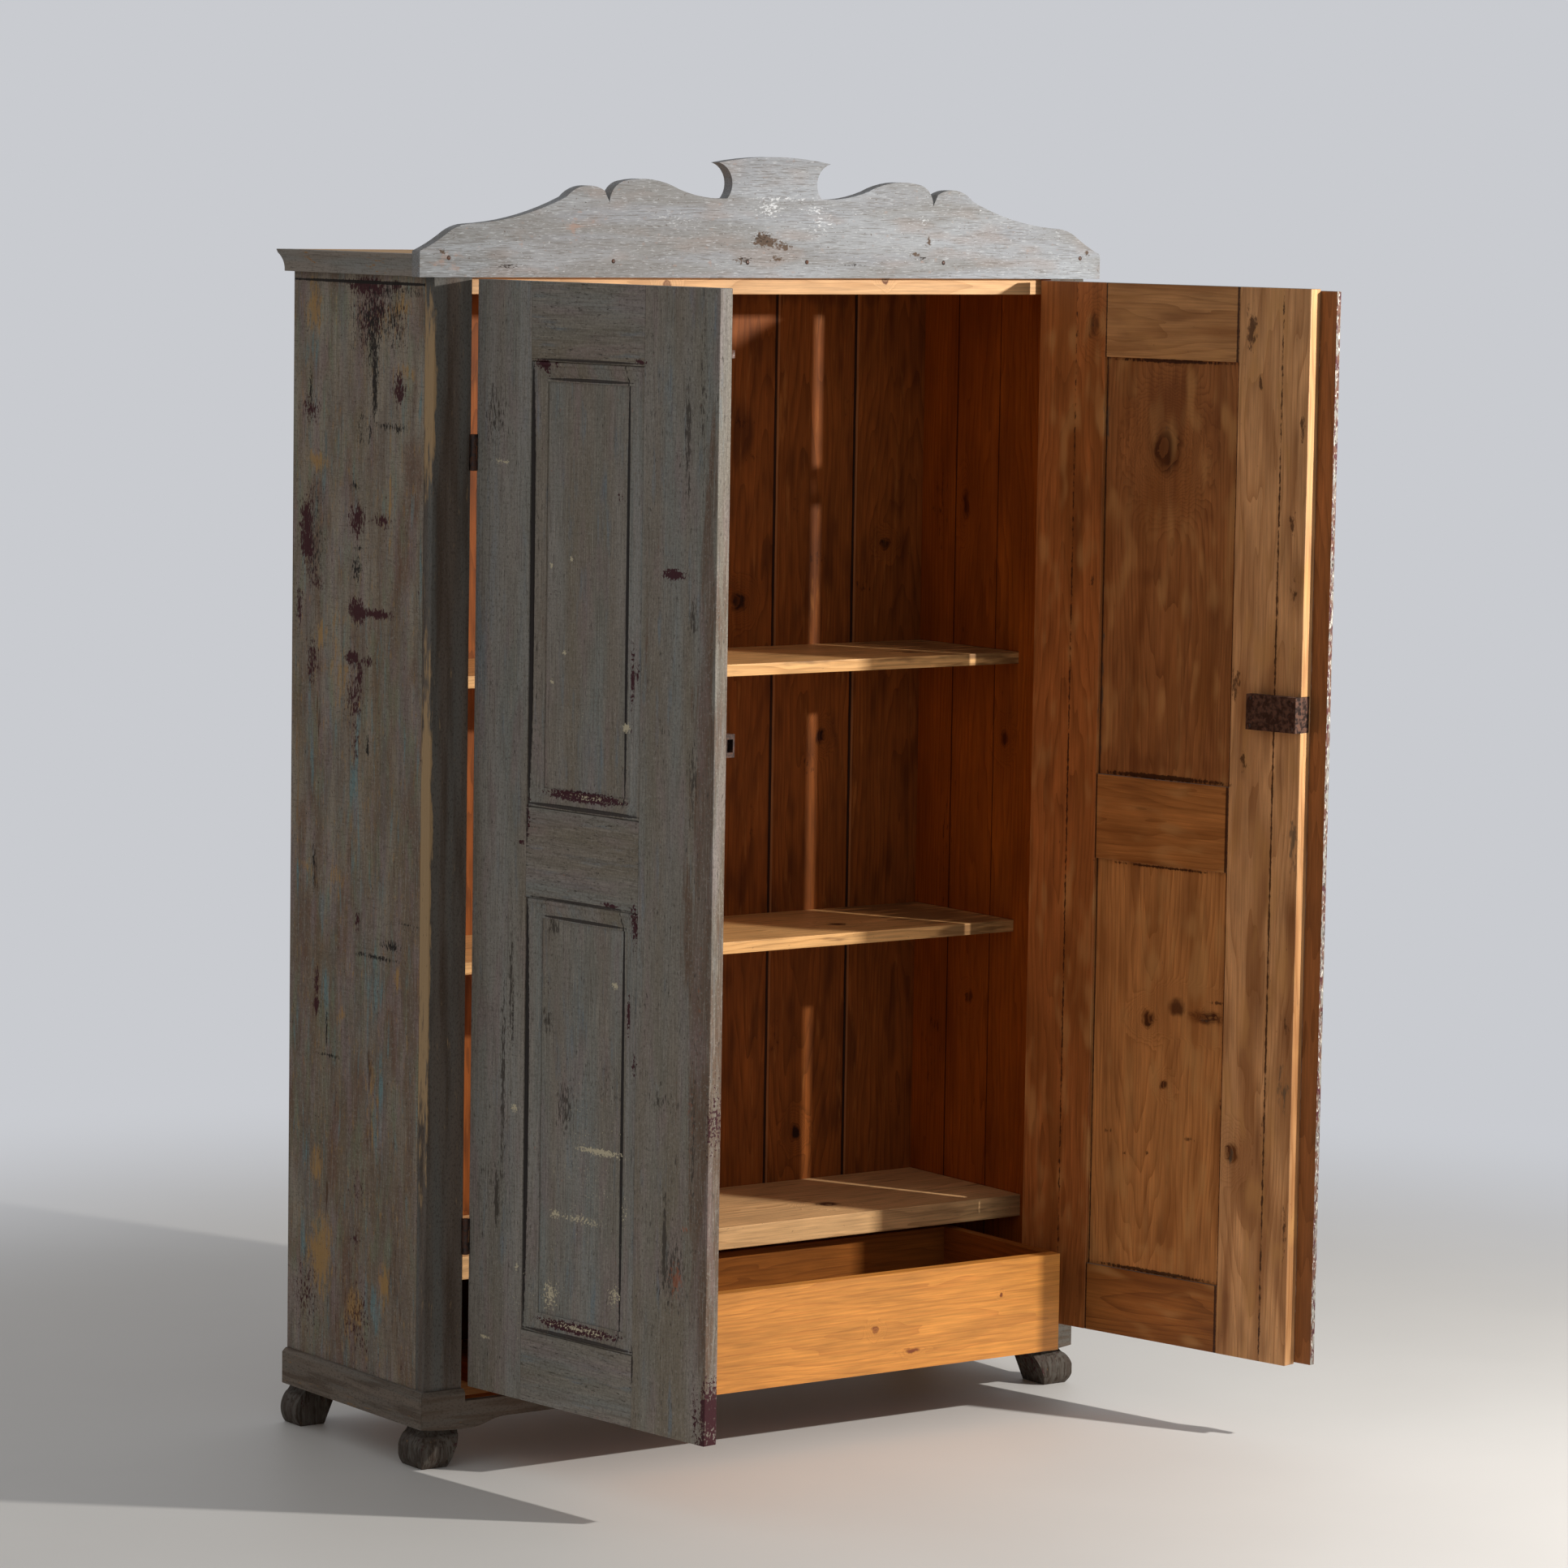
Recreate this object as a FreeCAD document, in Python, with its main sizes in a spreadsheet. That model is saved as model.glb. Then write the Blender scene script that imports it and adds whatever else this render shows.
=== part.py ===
import FreeCAD, Part
import os
import re
from FreeCAD import Placement, Rotation, Vector

# A two-door painted pine wardrobe with a scrolled crest board, panelled doors, one inner drawer
# and open shelves. X runs right, Y runs back and Z runs up. Sizes are in millimetres. Heights are
# measured from the floor, depths from the front of the stiles and widths from the middle.
SIZES = {
    # Where the wardrobe's own middle and front lie in the part's frame, doors and drawer open
    "shift_x": -14.7,
    "shift_y": 78.3,
    # Whole wardrobe
    "overall_height": 2000,
    "crest_stand": 153,
    "carcase_width": 1236,
    "carcase_depth": 408,
    "foot_height": 63,
    # Carcase
    "side_thickness": 30,
    "frame_thickness": 25,
    "stile_width": 67.5,
    "board_thickness": 20,
    "shelf_thickness": 19,
    "cover_thickness": 35.5,
    "housing_depth": 8,
    "back_thickness": 20,
    "back_lip": 4,
    "back_rebate": 12,
    "bottom_board_top": 100.5,
    "cover_board_under": 268,
    "lower_shelf_top": 757,
    "upper_shelf_top": 1200.5,
    "cover_setback": 80,
    "shelf_setback": 113,
    "top_rail_height": 40,
    "top_rail_thickness": 22,
    "bottom_rail_height": 31,
    "bottom_rail_setback": 2,
    "rail_tenon_length": 25,
    "rail_tenon_front": 9,
    "rail_tenon_thickness": 8,
    "rail_tenon_inset": 5.5,
    # Crest board and cornice
    "cornice_height": 34,
    "crest_thickness": 22,
    "crest_overhang": 5,
    "cornice_foot_width": 14,
    "cornice_reach": 15,
    "cornice_end_overhang": 7,
    # Plinth boards
    "plinth_thickness": 12,
    "plinth_height": 56,
    "plinth_chamfer": 6,
    "plinth_dip": 6,
    "plinth_arch_rise": 6.5,
    "plinth_dip_half_width": 540,
    "plinth_arch_half_width": 480,
    # Feet
    "foot_neck_inset": 16,
    "foot_bulge": 1,
    "foot_sole_inset": 7,
    "foot_width": 62,
    "foot_slant": 28,
    "foot_depth": 48,
    # Drawer
    "drawer_left_gap": 102.5,
    "drawer_right_gap": 78.5,
    "drawer_height": 157,
    "drawer_depth": 300,
    "drawer_lift": 0.3,
    "drawer_closed_front": 80,
    "drawer_pull": 257,
    "drawer_front_thickness": 22,
    "drawer_side_thickness": 18,
    "drawer_back_thickness": 15,
    "drawer_bottom_thickness": 8.5,
    "drawer_bottom_lift": 10,
    "drawer_groove_depth": 8,
    "dovetail_lap": 6,
    "dovetail_neck": 26,
    "dovetail_flare": 4,
    "guide_gap": 1,
    "guide_width": 25,
    "guide_height": 30,
    # Doors
    "door_thickness": 24,
    "door_floor_gap": 3,
    "door_top_gap": 2.5,
    "meeting_gap": 8.5,
    "left_open_angle": 83,
    "right_open_angle": 102,
    "pivot_forward": 6,
    "hinge_gap": 0.75,
    "left_hinge_stile_width": 125.25,
    "left_lock_stile_width": 163.5,
    "right_hinge_stile_width": 136.25,
    "right_lock_stile_width": 138.5,
    "door_top_rail_height": 117.5,
    "door_mid_rail_height": 136,
    "door_mid_rail_under": 890,
    "door_bottom_rail_height": 108,
    "panel_thickness": 8,
    "panel_inset": 10,
    "panel_groove": 10,
    "door_tenon_length": 35,
    "door_tenon_inset": 12,
    "moulding_width": 30,
    "moulding_height": 9,
    # Cover strip on the right door
    "strip_start": 520,
    "strip_end": 577,
    "strip_thickness": 14,
    "strip_relief": 0.4,
    "strip_corner": 6,
    "strip_end_gap": 3,
    # Hinges
    "lower_hinge_lift": 205,
    "upper_hinge_drop": 232.5,
    "hinge_length": 55,
    "hinge_knuckle_gap": 0.3,
    "hinge_knuckle_radius": 5,
    "hinge_pin_radius": 2.5,
    "hinge_pin_clearance": 0.05,
    "hinge_leaf_thickness": 2,
    "hinge_leaf_depth": 20,
    # Lock and keeper
    "lock_under": 1122,
    "lock_height": 56,
    "lock_length": 97.5,
    "lock_depth": 14,
    "lock_wall": 2,
    "forend_front": 3,
    "lock_bolt_length": 62,
    "lock_bolt_height": 16,
    "lock_bolt_thickness": 8,
    "lock_bolt_back": 3,
    "lock_bolt_clearance": 0.1,
    "keyhole_radius": 4,
    "keyhole_slot": 3,
    "keyhole_reach": 50,
    "keyhole_drop": 14,
    "keeper_length": 26,
    "keeper_height": 34,
    "keeper_depth": 16,
    "keeper_wall": 8,
    "keeper_clearance": 1.5,
    # Top bolt of the left door
    "top_bolt_reach": 520,
    "top_bolt_width": 10,
    "top_bolt_thickness": 7,
    "top_bolt_back": 5,
    "top_bolt_length": 130,
    "top_bolt_clearance": 0.1,
    "top_bolt_plate_width": 24,
    "top_bolt_plate_length": 125,
    "top_bolt_plate_thickness": 2,
    "top_bolt_drop": 7,
    "top_bolt_guide_height": 8,
    "top_bolt_guide_margin": 5,
    "top_bolt_guide_width": 18,
    "top_bolt_knob_width": 12,
    "top_bolt_knob_depth": 12,
    "top_bolt_hole_margin": 3,
    "top_bolt_hole_front": 28,
    "top_bolt_hole_depth": 9,
    "top_bolt_hole_height": 20,
}

# Sizes that follow from the driving ones
DERIVED = {
    "carcase_height": "overall_height - crest_stand",
    "outer_half": "carcase_width / 2",
    "inner_half": "outer_half - side_thickness",
    "board_half": "inner_half + housing_depth",
    "doorway_half": "outer_half - stile_width",
    "back_half": "inner_half + back_rebate",
    "back_front": "carcase_depth - back_lip - back_thickness",
    "back_rear": "carcase_depth - back_lip",
    "side_top": "carcase_height - board_thickness",
    "crest_under": "carcase_height - cornice_height",
    "crest_front": "-crest_overhang",
    "crest_rear": "crest_front + crest_thickness",
    "crest_rise": "overall_height - crest_under",
    "crest_half_width": "outer_half + cornice_foot_width + cornice_reach",
    "bottom_board_under": "bottom_board_top - board_thickness",
    "bottom_rail_under": "bottom_board_top - bottom_rail_height",
    "top_rail_under": "side_top - top_rail_height",
    "plinth_top": "foot_height + plinth_height",
    "plinth_half": "outer_half + plinth_thickness",
    "plinth_front": "-plinth_thickness",
    "drawer_right": "doorway_half - drawer_right_gap",
    "drawer_left": "drawer_left_gap - doorway_half",
    "drawer_under": "bottom_board_top + drawer_lift",
    "drawer_top": "drawer_under + drawer_height",
    "drawer_bottom_under": "drawer_under + drawer_bottom_lift",
    "drawer_bottom_top": "drawer_bottom_under + drawer_bottom_thickness",
    "pivot_half": "doorway_half - hinge_gap",
    "leaf_reach": "pivot_half - meeting_gap / 2",
    "leaf_front": "pivot_forward",
    "leaf_back": "pivot_forward + door_thickness",
    "door_under": "plinth_top + door_floor_gap",
    "door_top": "crest_under - door_top_gap",
    "door_top_rail_under": "door_top - door_top_rail_height",
    "door_mid_rail_top": "door_mid_rail_under + door_mid_rail_height",
    "door_bottom_rail_top": "door_under + door_bottom_rail_height",
    "panel_front": "leaf_front + panel_inset",
    "panel_back": "panel_front + panel_thickness",
    "lower_hinge_height": "door_under + lower_hinge_lift",
    "upper_hinge_height": "door_top - upper_hinge_drop - hinge_length",
    "knuckle_length": "hinge_length / 3",
    "lock_top": "lock_under + lock_height",
    "lock_back": "leaf_back + lock_depth",
    "lock_start": "leaf_reach - lock_length",
    "bolt_front": "leaf_back + lock_bolt_back",
    "bolt_back": "bolt_front + lock_bolt_thickness",
    "lock_middle": "lock_under + lock_height / 2",
    "top_bolt_front": "leaf_back + top_bolt_back",
    "top_bolt_rear": "top_bolt_front + top_bolt_thickness",
    "top_bolt_top": "top_rail_under - top_bolt_drop",
    "top_bolt_under": "top_bolt_top - top_bolt_length",
    "top_bolt_plate_top": "top_bolt_top - top_bolt_guide_margin",
    "top_bolt_plate_under": "top_bolt_plate_top - top_bolt_plate_length",
}

# Places of the outline's points as shares of the crest's half width and rise, from its right end
# to its left scroll's tip: the first two are a straight end, then arcs through a middle point
CREST_END_SHARES = ((1, 0), (1, 0.209))
CREST_ARC_SHARES = (
    ((0.968, 0.262), (0.930, 0.342)),
    ((0.905, 0.394), (0.866, 0.428)),
    ((0.727, 0.497), (0.598, 0.652)),
    ((0.532, 0.746), (0.490, 0.706)),
)
CREST_NOTCH_SHARES = (0.476, 0.61)
CREST_SCROLL_SHARES = (
    ((0.462, 0.733), (0.432, 0.789)),
    ((0.355, 0.801), (0.278, 0.725)),
    ((0.200, 0.662), (0.139, 0.655)),
    ((0.125, 0.775), (0.165, 0.949)),
)

# The foot's ogee, as shares of its neck inset and of its height
FOOT_NECK_SHARES = ((0.875, 0.87), (0.5, 0.78))
FOOT_BULGE_SHARE = 0.5

# The door moulding's section, as shares of its width and height: a bead, then an ogee
BEAD_START_SHARE = 0.6
BEAD_SHARES = ((0.12, 1), (0.27, 0.72))
OGEE_SHARES = (((0.5, 0.62), (0.68, 0.36)), ((0.78, 0.2), (0.9, 0.22)))
FILLET_SHARE = 0.22

# The cornice's hollow: shares of its overhang and height
CORNICE_LIP_SHARE = 0.15
CORNICE_HOLLOW_SHARES = (0.35, 0.6)
CORNICE_CREST_SHARES = (0.8, 0.82)

# Seams of the back boards, as shares of the back's width
BACK_SEAM_SHARES = (0, 0.208, 0.4, 0.575, 0.737, 0.871, 1)
DOVETAIL_SHARES = (1 / 6, 3 / 6, 5 / 6)

# A door's rails with the lower and upper end of each, the way up the door
DOOR_RAILS = (
    ("bottom_rail", "door_under", "door_bottom_rail_top"),
    ("mid_rail", "door_mid_rail_under", "door_mid_rail_top"),
    ("top_rail", "door_top_rail_under", "door_top"),
)

SIDES = (("left", -1), ("right", 1))
UP = Vector(0, 0, 1)

doc = FreeCAD.newDocument("Wardrobe")
sheet = doc.addObject("Spreadsheet::Sheet", "Sizes")
for row, (alias, value) in enumerate(SIZES.items(), 1):
    sheet.set(f"A{row}", alias)
    sheet.set(f"B{row}", str(value))
    sheet.setAlias(f"B{row}", alias)
doc.recompute()
NODES = []


def formula(text):
    """An expression on the sheet's cells, from a sum of size names."""
    def cell(match):
        word = match.group(0)
        if word in DERIVED:
            return "(" + formula(DERIVED[word]) + ")"
        return "Sizes." + word if word in SIZES else word
    return re.sub(r"[a-z_]+", cell, str(text))


def size(text):
    """The value of a sum of size names, for an outline's points."""
    return float(sheet.evalExpression(formula(text)))


def across(hand, low, high):
    """A width range on the right-hand side, or its mirror image on the left."""
    return (low, high) if hand > 0 else (f"-({high})", f"-({low})")


def node(item):
    """List an object as one of the wardrobe's own pieces, named by its label."""
    NODES.append(item)
    return item


CARCASE = ("shift_x", "shift_y")
DRAWER = ("shift_x", "shift_y + drawer_closed_front - drawer_pull")
LEAF = ("0", "0")


def block(name, x, y, z, origin=CARCASE):
    """A box between bound corners, from the origin of the group that it belongs to."""
    box = doc.addObject("Part::Box", name)
    offsets = (origin[0], origin[1], "0")
    for axis, extent, span, offset in zip("xyz", ("Length", "Width", "Height"), (x, y, z), offsets):
        low, high = span
        box.setExpression("Placement.Base." + axis, formula(f"({low}) + ({offset})"))
        box.setExpression(extent, formula(f"({high}) - ({low})"))
    return box


def rod(name, centre, z, radius, origin=CARCASE):
    """An upright cylinder."""
    cylinder = doc.addObject("Part::Cylinder", name)
    low, high = z
    cylinder.setExpression("Placement.Base.x", formula(f"({centre[0]}) + ({origin[0]})"))
    cylinder.setExpression("Placement.Base.y", formula(f"({centre[1]}) + ({origin[1]})"))
    cylinder.setExpression("Placement.Base.z", formula(low))
    cylinder.setExpression("Height", formula(f"({high}) - ({low})"))
    cylinder.setExpression("Radius", formula(radius))
    return cylinder


def fuse(name, pieces):
    """Several touching shapes as one."""
    result = doc.addObject("Part::MultiFuse", name)
    result.Shapes = pieces
    return result


def cut(name, base, tools):
    """A shape less one or more others."""
    result = doc.addObject("Part::Cut", name)
    result.Base = base
    result.Tool = tools[0] if len(tools) == 1 else fuse(name + "_cutters", tools)
    return result


def group(name, pieces):
    """Separate solids of one kind, kept together in one piece's file."""
    result = doc.addObject("Part::Compound", name)
    result.Links = pieces
    return result


def outline(start, *steps):
    """Edges round a closed outline: a step is a line's end, or an arc's middle and end."""
    edges = []
    here = Vector(*start)
    for step in steps:
        if isinstance(step[0], tuple):
            middle, end = (Vector(*point) for point in step)
            edges.append(Part.Arc(here, middle, end))
        else:
            end = Vector(*step)
            edges.append(Part.LineSegment(here, end))
        here = end
    if not here.isEqual(Vector(*start), 0):
        edges.append(Part.LineSegment(here, Vector(*start)))
    return edges


def new_body(name, origin=CARCASE):
    """A body in its own coordinates, carried to its group's origin."""
    body = doc.addObject("PartDesign::Body", name)
    body.setExpression("Placement.Base.x", formula(origin[0]))
    body.setExpression("Placement.Base.y", formula(origin[1]))
    return body


def sketch_on(body, plane_role, edges, offset="0"):
    """A sketch of closed edges on one of the body's own planes, moved along its normal."""
    sketch = body.newObject("Sketcher::SketchObject", body.Name + "_outline")
    plane = next(item for item in body.Origin.OriginFeatures if item.Role == plane_role)
    sketch.AttachmentSupport = (plane, [""])
    sketch.MapMode = "FlatFace"
    sketch.setExpression("AttachmentOffset.Base.z", formula(offset))
    sketch.addGeometry(edges, False)
    return sketch


def pad(body, plane_role, edges, length, offset="0"):
    """Extrude an outline along its plane's normal."""
    feature = body.newObject("PartDesign::Pad", body.Name + "_pad")
    feature.Profile = sketch_on(body, plane_role, edges, offset)
    feature.setExpression("Length", formula(length))
    return body


def trim(body, plane_role, edges):
    """Cut an outline through the whole body, both ways from its plane."""
    sketch = sketch_on(body, plane_role, edges)
    feature = body.newObject("PartDesign::Pocket", body.Name + "_trim")
    feature.Profile = sketch
    feature.Type = "ThroughAll"
    feature.SideType = "Symmetric"
    return body


def extrude_back(name, edges, front, rear, origin=CARCASE):
    """A body with a front-view outline, X and Z, from a front depth to a rear depth."""
    return pad(new_body(name, origin), "XZ_Plane", edges, f"({rear}) - ({front})", f"-({rear})")


def make_inner_boards():
    """The bottom board, the rough board over the drawer, and two shelves, housed in the sides."""
    width = ("-board_half", "board_half")
    levels = (
        ("bottom_board", "frame_thickness", "bottom_board_under", "bottom_board_top"),
        ("drawer_cover_board", "cover_setback", "cover_board_under",
         "cover_board_under + cover_thickness"),
        ("lower_shelf", "shelf_setback", "lower_shelf_top - shelf_thickness", "lower_shelf_top"),
        ("upper_shelf", "shelf_setback", "upper_shelf_top - shelf_thickness", "upper_shelf_top"),
    )
    return [node(block(name, width, (front, "back_front"), (low, high))) for name, front, low, high in levels]


def make_sides(inner_boards):
    """Solid sides, with a housing for each inner board and a rebate for the back."""
    for side, hand in SIDES:
        board = block(side + "_side_board", across(hand, "inner_half", "outer_half"),
                      ("frame_thickness", "carcase_depth"), ("foot_height", "side_top"))
        rebate = block(side + "_back_rebate", across(hand, "inner_half", "back_half"),
                       ("back_front", "carcase_depth"), ("foot_height", "side_top"))
        node(cut(side + "_side", board, inner_boards + [rebate]))


def make_frame(hinge_leaves):
    """The face frame: two stiles with a rail tenoned between them below and a rail behind above."""
    height = ("bottom_rail_under", "bottom_board_top")
    rail = block("bottom_rail_face", ("-doorway_half", "doorway_half"),
                 ("bottom_rail_setback", "frame_thickness"), height)
    tenon_half = "doorway_half + rail_tenon_length"
    tenon = block("bottom_rail_tenon", (f"-({tenon_half})", tenon_half),
                  ("rail_tenon_front", "rail_tenon_front + rail_tenon_thickness"),
                  ("bottom_rail_under + rail_tenon_inset", "bottom_board_top - rail_tenon_inset"))
    bottom_rail = node(fuse("bottom_rail", [rail, tenon]))
    for side, hand in SIDES:
        width = across(hand, "doorway_half", "outer_half")
        stile = block(side + "_stile_board", width, ("0", "frame_thickness"), ("foot_height", "side_top"))
        rebate = block(side + "_crest_rebate", width, ("0", "crest_rear"), ("crest_under", "side_top"))
        node(cut(side + "_stile", stile, [rebate, bottom_rail, hinge_leaves]))
    rear_part = block("top_rail_rear", ("-inner_half", "inner_half"),
                      ("frame_thickness", "frame_thickness + top_rail_thickness"), ("top_rail_under", "side_top"))
    front_part = block("top_rail_lip", ("-doorway_half", "doorway_half"),
                       ("crest_rear", "frame_thickness"), ("crest_under", "side_top"))
    middle = "top_bolt_reach - pivot_half"
    half = "top_bolt_width / 2 + top_bolt_hole_margin"
    hole = block("top_bolt_hole", (f"{middle} - ({half})", f"{middle} + {half}"),
                 ("top_bolt_hole_front", "top_bolt_hole_front + top_bolt_hole_depth"),
                 ("top_rail_under", "top_rail_under + top_bolt_hole_height"))
    node(cut("top_rail", fuse("top_rail_body", [rear_part, front_part]), [hole]))
    node(block("top_board", ("-outer_half", "outer_half"), ("crest_rear", "carcase_depth"),
               ("side_top", "carcase_height")))


def make_back():
    """Upright boards butted side by side in the rebates of the sides."""
    seams = zip(BACK_SEAM_SHARES, BACK_SEAM_SHARES[1:])
    for number, (start_share, end_share) in enumerate(seams, 1):
        width = (f"back_half * (2 * {start_share} - 1)", f"back_half * (2 * {end_share} - 1)")
        node(block(f"back_board_{number}", width, ("back_front", "back_rear"),
                   ("foot_height", "side_top")))


def make_crest():
    """The scrolled board across the front of the top, sawn from one plank."""
    half_width = size("crest_half_width")
    under = size("crest_under")
    rise = size("crest_rise")

    def right(share):
        return (share[0] * half_width, under + share[1] * rise)

    def left(share):
        return (-share[0] * half_width, under + share[1] * rise)

    rising = [right(CREST_END_SHARES[1])]
    rising += [(right(middle), right(end)) for middle, end in CREST_ARC_SHARES]
    rising.append(right(CREST_NOTCH_SHARES))
    rising += [(right(middle), right(end)) for middle, end in CREST_SCROLL_SHARES]
    apex = ((0, under + rise), left(CREST_SCROLL_SHARES[-1][1]))
    falling = []
    for index in range(len(CREST_SCROLL_SHARES) - 1, 0, -1):
        falling.append((left(CREST_SCROLL_SHARES[index][0]), left(CREST_SCROLL_SHARES[index - 1][1])))
    falling.append((left(CREST_SCROLL_SHARES[0][0]), left(CREST_NOTCH_SHARES)))
    falling.append(left(CREST_ARC_SHARES[-1][1]))
    for index in range(len(CREST_ARC_SHARES) - 1, 0, -1):
        falling.append((left(CREST_ARC_SHARES[index][0]), left(CREST_ARC_SHARES[index - 1][1])))
    falling.append((left(CREST_ARC_SHARES[0][0]), left(CREST_END_SHARES[1])))
    falling.append(left(CREST_END_SHARES[0]))
    edges = outline(right(CREST_END_SHARES[0]), *rising, apex, *falling)
    node(extrude_back("crest_board", edges, "crest_front", "crest_rear"))


def make_cornice():
    """Hollow mouldings along the two sides of the top, butted against the crest board's back."""
    foot = size("cornice_foot_width")
    overhang = size("cornice_reach")
    height = size("cornice_height")
    under = size("crest_under")
    wall = size("outer_half")
    for side, hand in SIDES:
        def point(reach_share, rise_share):
            return (hand * (wall + foot + reach_share * overhang), under + rise_share * height)

        hollow = (point(*CORNICE_HOLLOW_SHARES), point(*CORNICE_CREST_SHARES))
        edges = outline((hand * wall, under), point(0, 0), point(0, CORNICE_LIP_SHARE), hollow,
                        point(1, 1), (hand * wall, under + height))
        node(extrude_back(f"cornice_{side}", edges, "crest_rear", "carcase_depth + cornice_end_overhang"))


def make_plinth():
    """Three boards mitred at the front corners, the front one cut down for the drawer to pass."""
    half = size("plinth_half")
    wall = size("outer_half")
    door = size("doorway_half")
    top = size("plinth_top")
    sill = size("bottom_board_top")
    under = size("foot_height")
    dip = under - size("plinth_dip")
    arch = under + size("plinth_arch_rise")
    dip_x = size("plinth_dip_half_width")
    arch_x = size("plinth_arch_half_width")
    turn_x = (dip_x + arch_x) / 2
    turn_z = (dip + arch) / 2
    front = size("plinth_front")
    chamfer = size("plinth_chamfer")
    bulge_share = 0.15
    ogee_x = (dip_x - arch_x) / 4
    ogee_z = (arch - dip) * bulge_share
    corner_x = (half + dip_x) / 2
    corner_z = dip + (under - dip) / 4
    edges = outline(
        (half, under), (half, top), (door, top), (door, sill), (-door, sill), (-door, top),
        (-half, top), (-half, under), ((-corner_x, corner_z), (-dip_x, dip)),
        ((-dip_x + ogee_x, dip + ogee_z), (-turn_x, turn_z)),
        ((-arch_x - ogee_x, arch - ogee_z), (-arch_x, arch)), (arch_x, arch),
        ((arch_x + ogee_x, arch - ogee_z), (turn_x, turn_z)),
        ((dip_x - ogee_x, dip + ogee_z), (dip_x, dip)), ((corner_x, corner_z), (half, under)))
    front_board = extrude_back("plinth_front", edges, "plinth_front", "0")
    for hand in (-1, 1):
        trim(front_board, "XY_Plane", outline((hand * wall, 0), (hand * half, front), (hand * half, 0)))
    trim(front_board, "YZ_Plane", outline((front, top), (front, top - chamfer), (front + chamfer, top)))
    node(front_board)
    for side, hand in SIDES:
        section = outline((hand * wall, under), (hand * half, under), (hand * half, top - chamfer),
                          (hand * (half - chamfer), top), (hand * wall, top))
        board = extrude_back(f"plinth_{side}", section, "plinth_front", "back_rear")
        mitre = outline((hand * wall, 0), (hand * wall, front), (hand * half, front))
        node(trim(board, "XY_Plane", mitre))


def foot_curve(face, outward):
    """A foot's outer face from neck to sole, where outward is the sign of its facing."""
    height = size("foot_height")
    inset = size("foot_neck_inset")
    first, turn = (((face - outward * inset * reach), height * rise) for reach, rise in FOOT_NECK_SHARES)
    bulge = (face + outward * size("foot_bulge"), height * FOOT_BULGE_SHARE)
    sole = (face - outward * size("foot_sole_inset"), 0)
    return (face - outward * inset, height), (first, turn), (bulge, sole)


def make_feet():
    """Squat ogee feet under the corners: the front pair is moulded on two faces."""
    face = size("plinth_half")
    height = size("foot_height")
    inner = face - size("foot_neck_inset + foot_width")
    slanted = inner + size("foot_slant")
    for side, hand in SIDES:
        neck, *curves = foot_curve(hand * face, hand)
        view = outline(neck, *curves, (hand * slanted, 0), (hand * inner, height))
        front = f"{side}_front_foot"
        face_view = extrude_back(front + "_face_view", view, "-plinth_thickness - foot_bulge",
                                 "foot_neck_inset - plinth_thickness + foot_depth")
        neck, *curves = foot_curve(size("plinth_front"), -1)
        rear = size("foot_neck_inset - plinth_thickness + foot_depth")
        side_edges = outline(neck, *curves, (rear, 0), (rear, height))
        side_view = pad(new_body(front + "_side_view"), "YZ_Plane", side_edges,
                        "2 * plinth_half + 2 * foot_bulge", "-plinth_half - foot_bulge")
        foot = doc.addObject("Part::Common", front)
        foot.Base = face_view
        foot.Tool = side_view
        node(foot)
        node(extrude_back(f"{side}_back_foot", view, "back_rear - foot_depth", "back_rear"))


def make_drawer():
    """A dovetailed drawer, half-blind at the front, its bottom slid in from the back."""
    height = ("drawer_under", "drawer_top")
    bottom = node(block("drawer_bottom", ("drawer_left + drawer_side_thickness - drawer_groove_depth",
                                          "drawer_right - drawer_side_thickness + drawer_groove_depth"),
                        ("drawer_front_thickness - drawer_groove_depth", "drawer_depth"),
                        ("drawer_bottom_under", "drawer_bottom_top"), DRAWER))
    under = size("drawer_under")
    tall = size("drawer_height")
    top = under + tall
    front_neck = size("drawer_front_thickness")
    front_end = size("dovetail_lap")
    back_end = size("drawer_depth")
    back_neck = size("drawer_depth - drawer_back_thickness")
    neck = size("dovetail_neck") / 2
    flare = size("dovetail_neck") / 2 + size("dovetail_flare")
    sides = []
    for side, low in (("left", "drawer_left"), ("right", "drawer_right - drawer_side_thickness")):
        front_tails = []
        back_tails = []
        for share in DOVETAIL_SHARES:
            middle = under + share * tall
            front_tails += [(front_neck, middle - neck), (front_end, middle - flare),
                            (front_end, middle + flare), (front_neck, middle + neck)]
            back_tails += [(back_neck, middle - neck), (back_end, middle - flare),
                           (back_end, middle + flare), (back_neck, middle + neck)]
        edges = outline((front_neck, under), *front_tails, (front_neck, top), (back_neck, top),
                        *reversed(back_tails), (back_neck, under))
        board = pad(new_body(f"drawer_{side}_board", DRAWER), "YZ_Plane", edges, "drawer_side_thickness", low)
        sides.append(node(cut(f"drawer_{side}_side", board, [bottom])))
    width = ("drawer_left", "drawer_right")
    front = block("drawer_front_board", width, ("0", "drawer_front_thickness"), height, DRAWER)
    node(cut("drawer_front", front, sides + [bottom]))
    back = block("drawer_back_board", width, ("drawer_depth - drawer_back_thickness", "drawer_depth"),
                 ("drawer_bottom_top", "drawer_top"), DRAWER)
    node(cut("drawer_back", back, sides))
    depth = ("frame_thickness", "back_front")
    height = ("bottom_board_top", "bottom_board_top + guide_height")
    left_strip = block("left_drawer_guide", ("drawer_left - guide_gap - guide_width", "drawer_left - guide_gap"),
                       depth, height)
    right_strip = block("right_drawer_guide", ("drawer_right + guide_gap", "drawer_right + guide_gap + guide_width"),
                        depth, height)
    node(group("drawer_guides", [left_strip, right_strip]))


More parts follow.
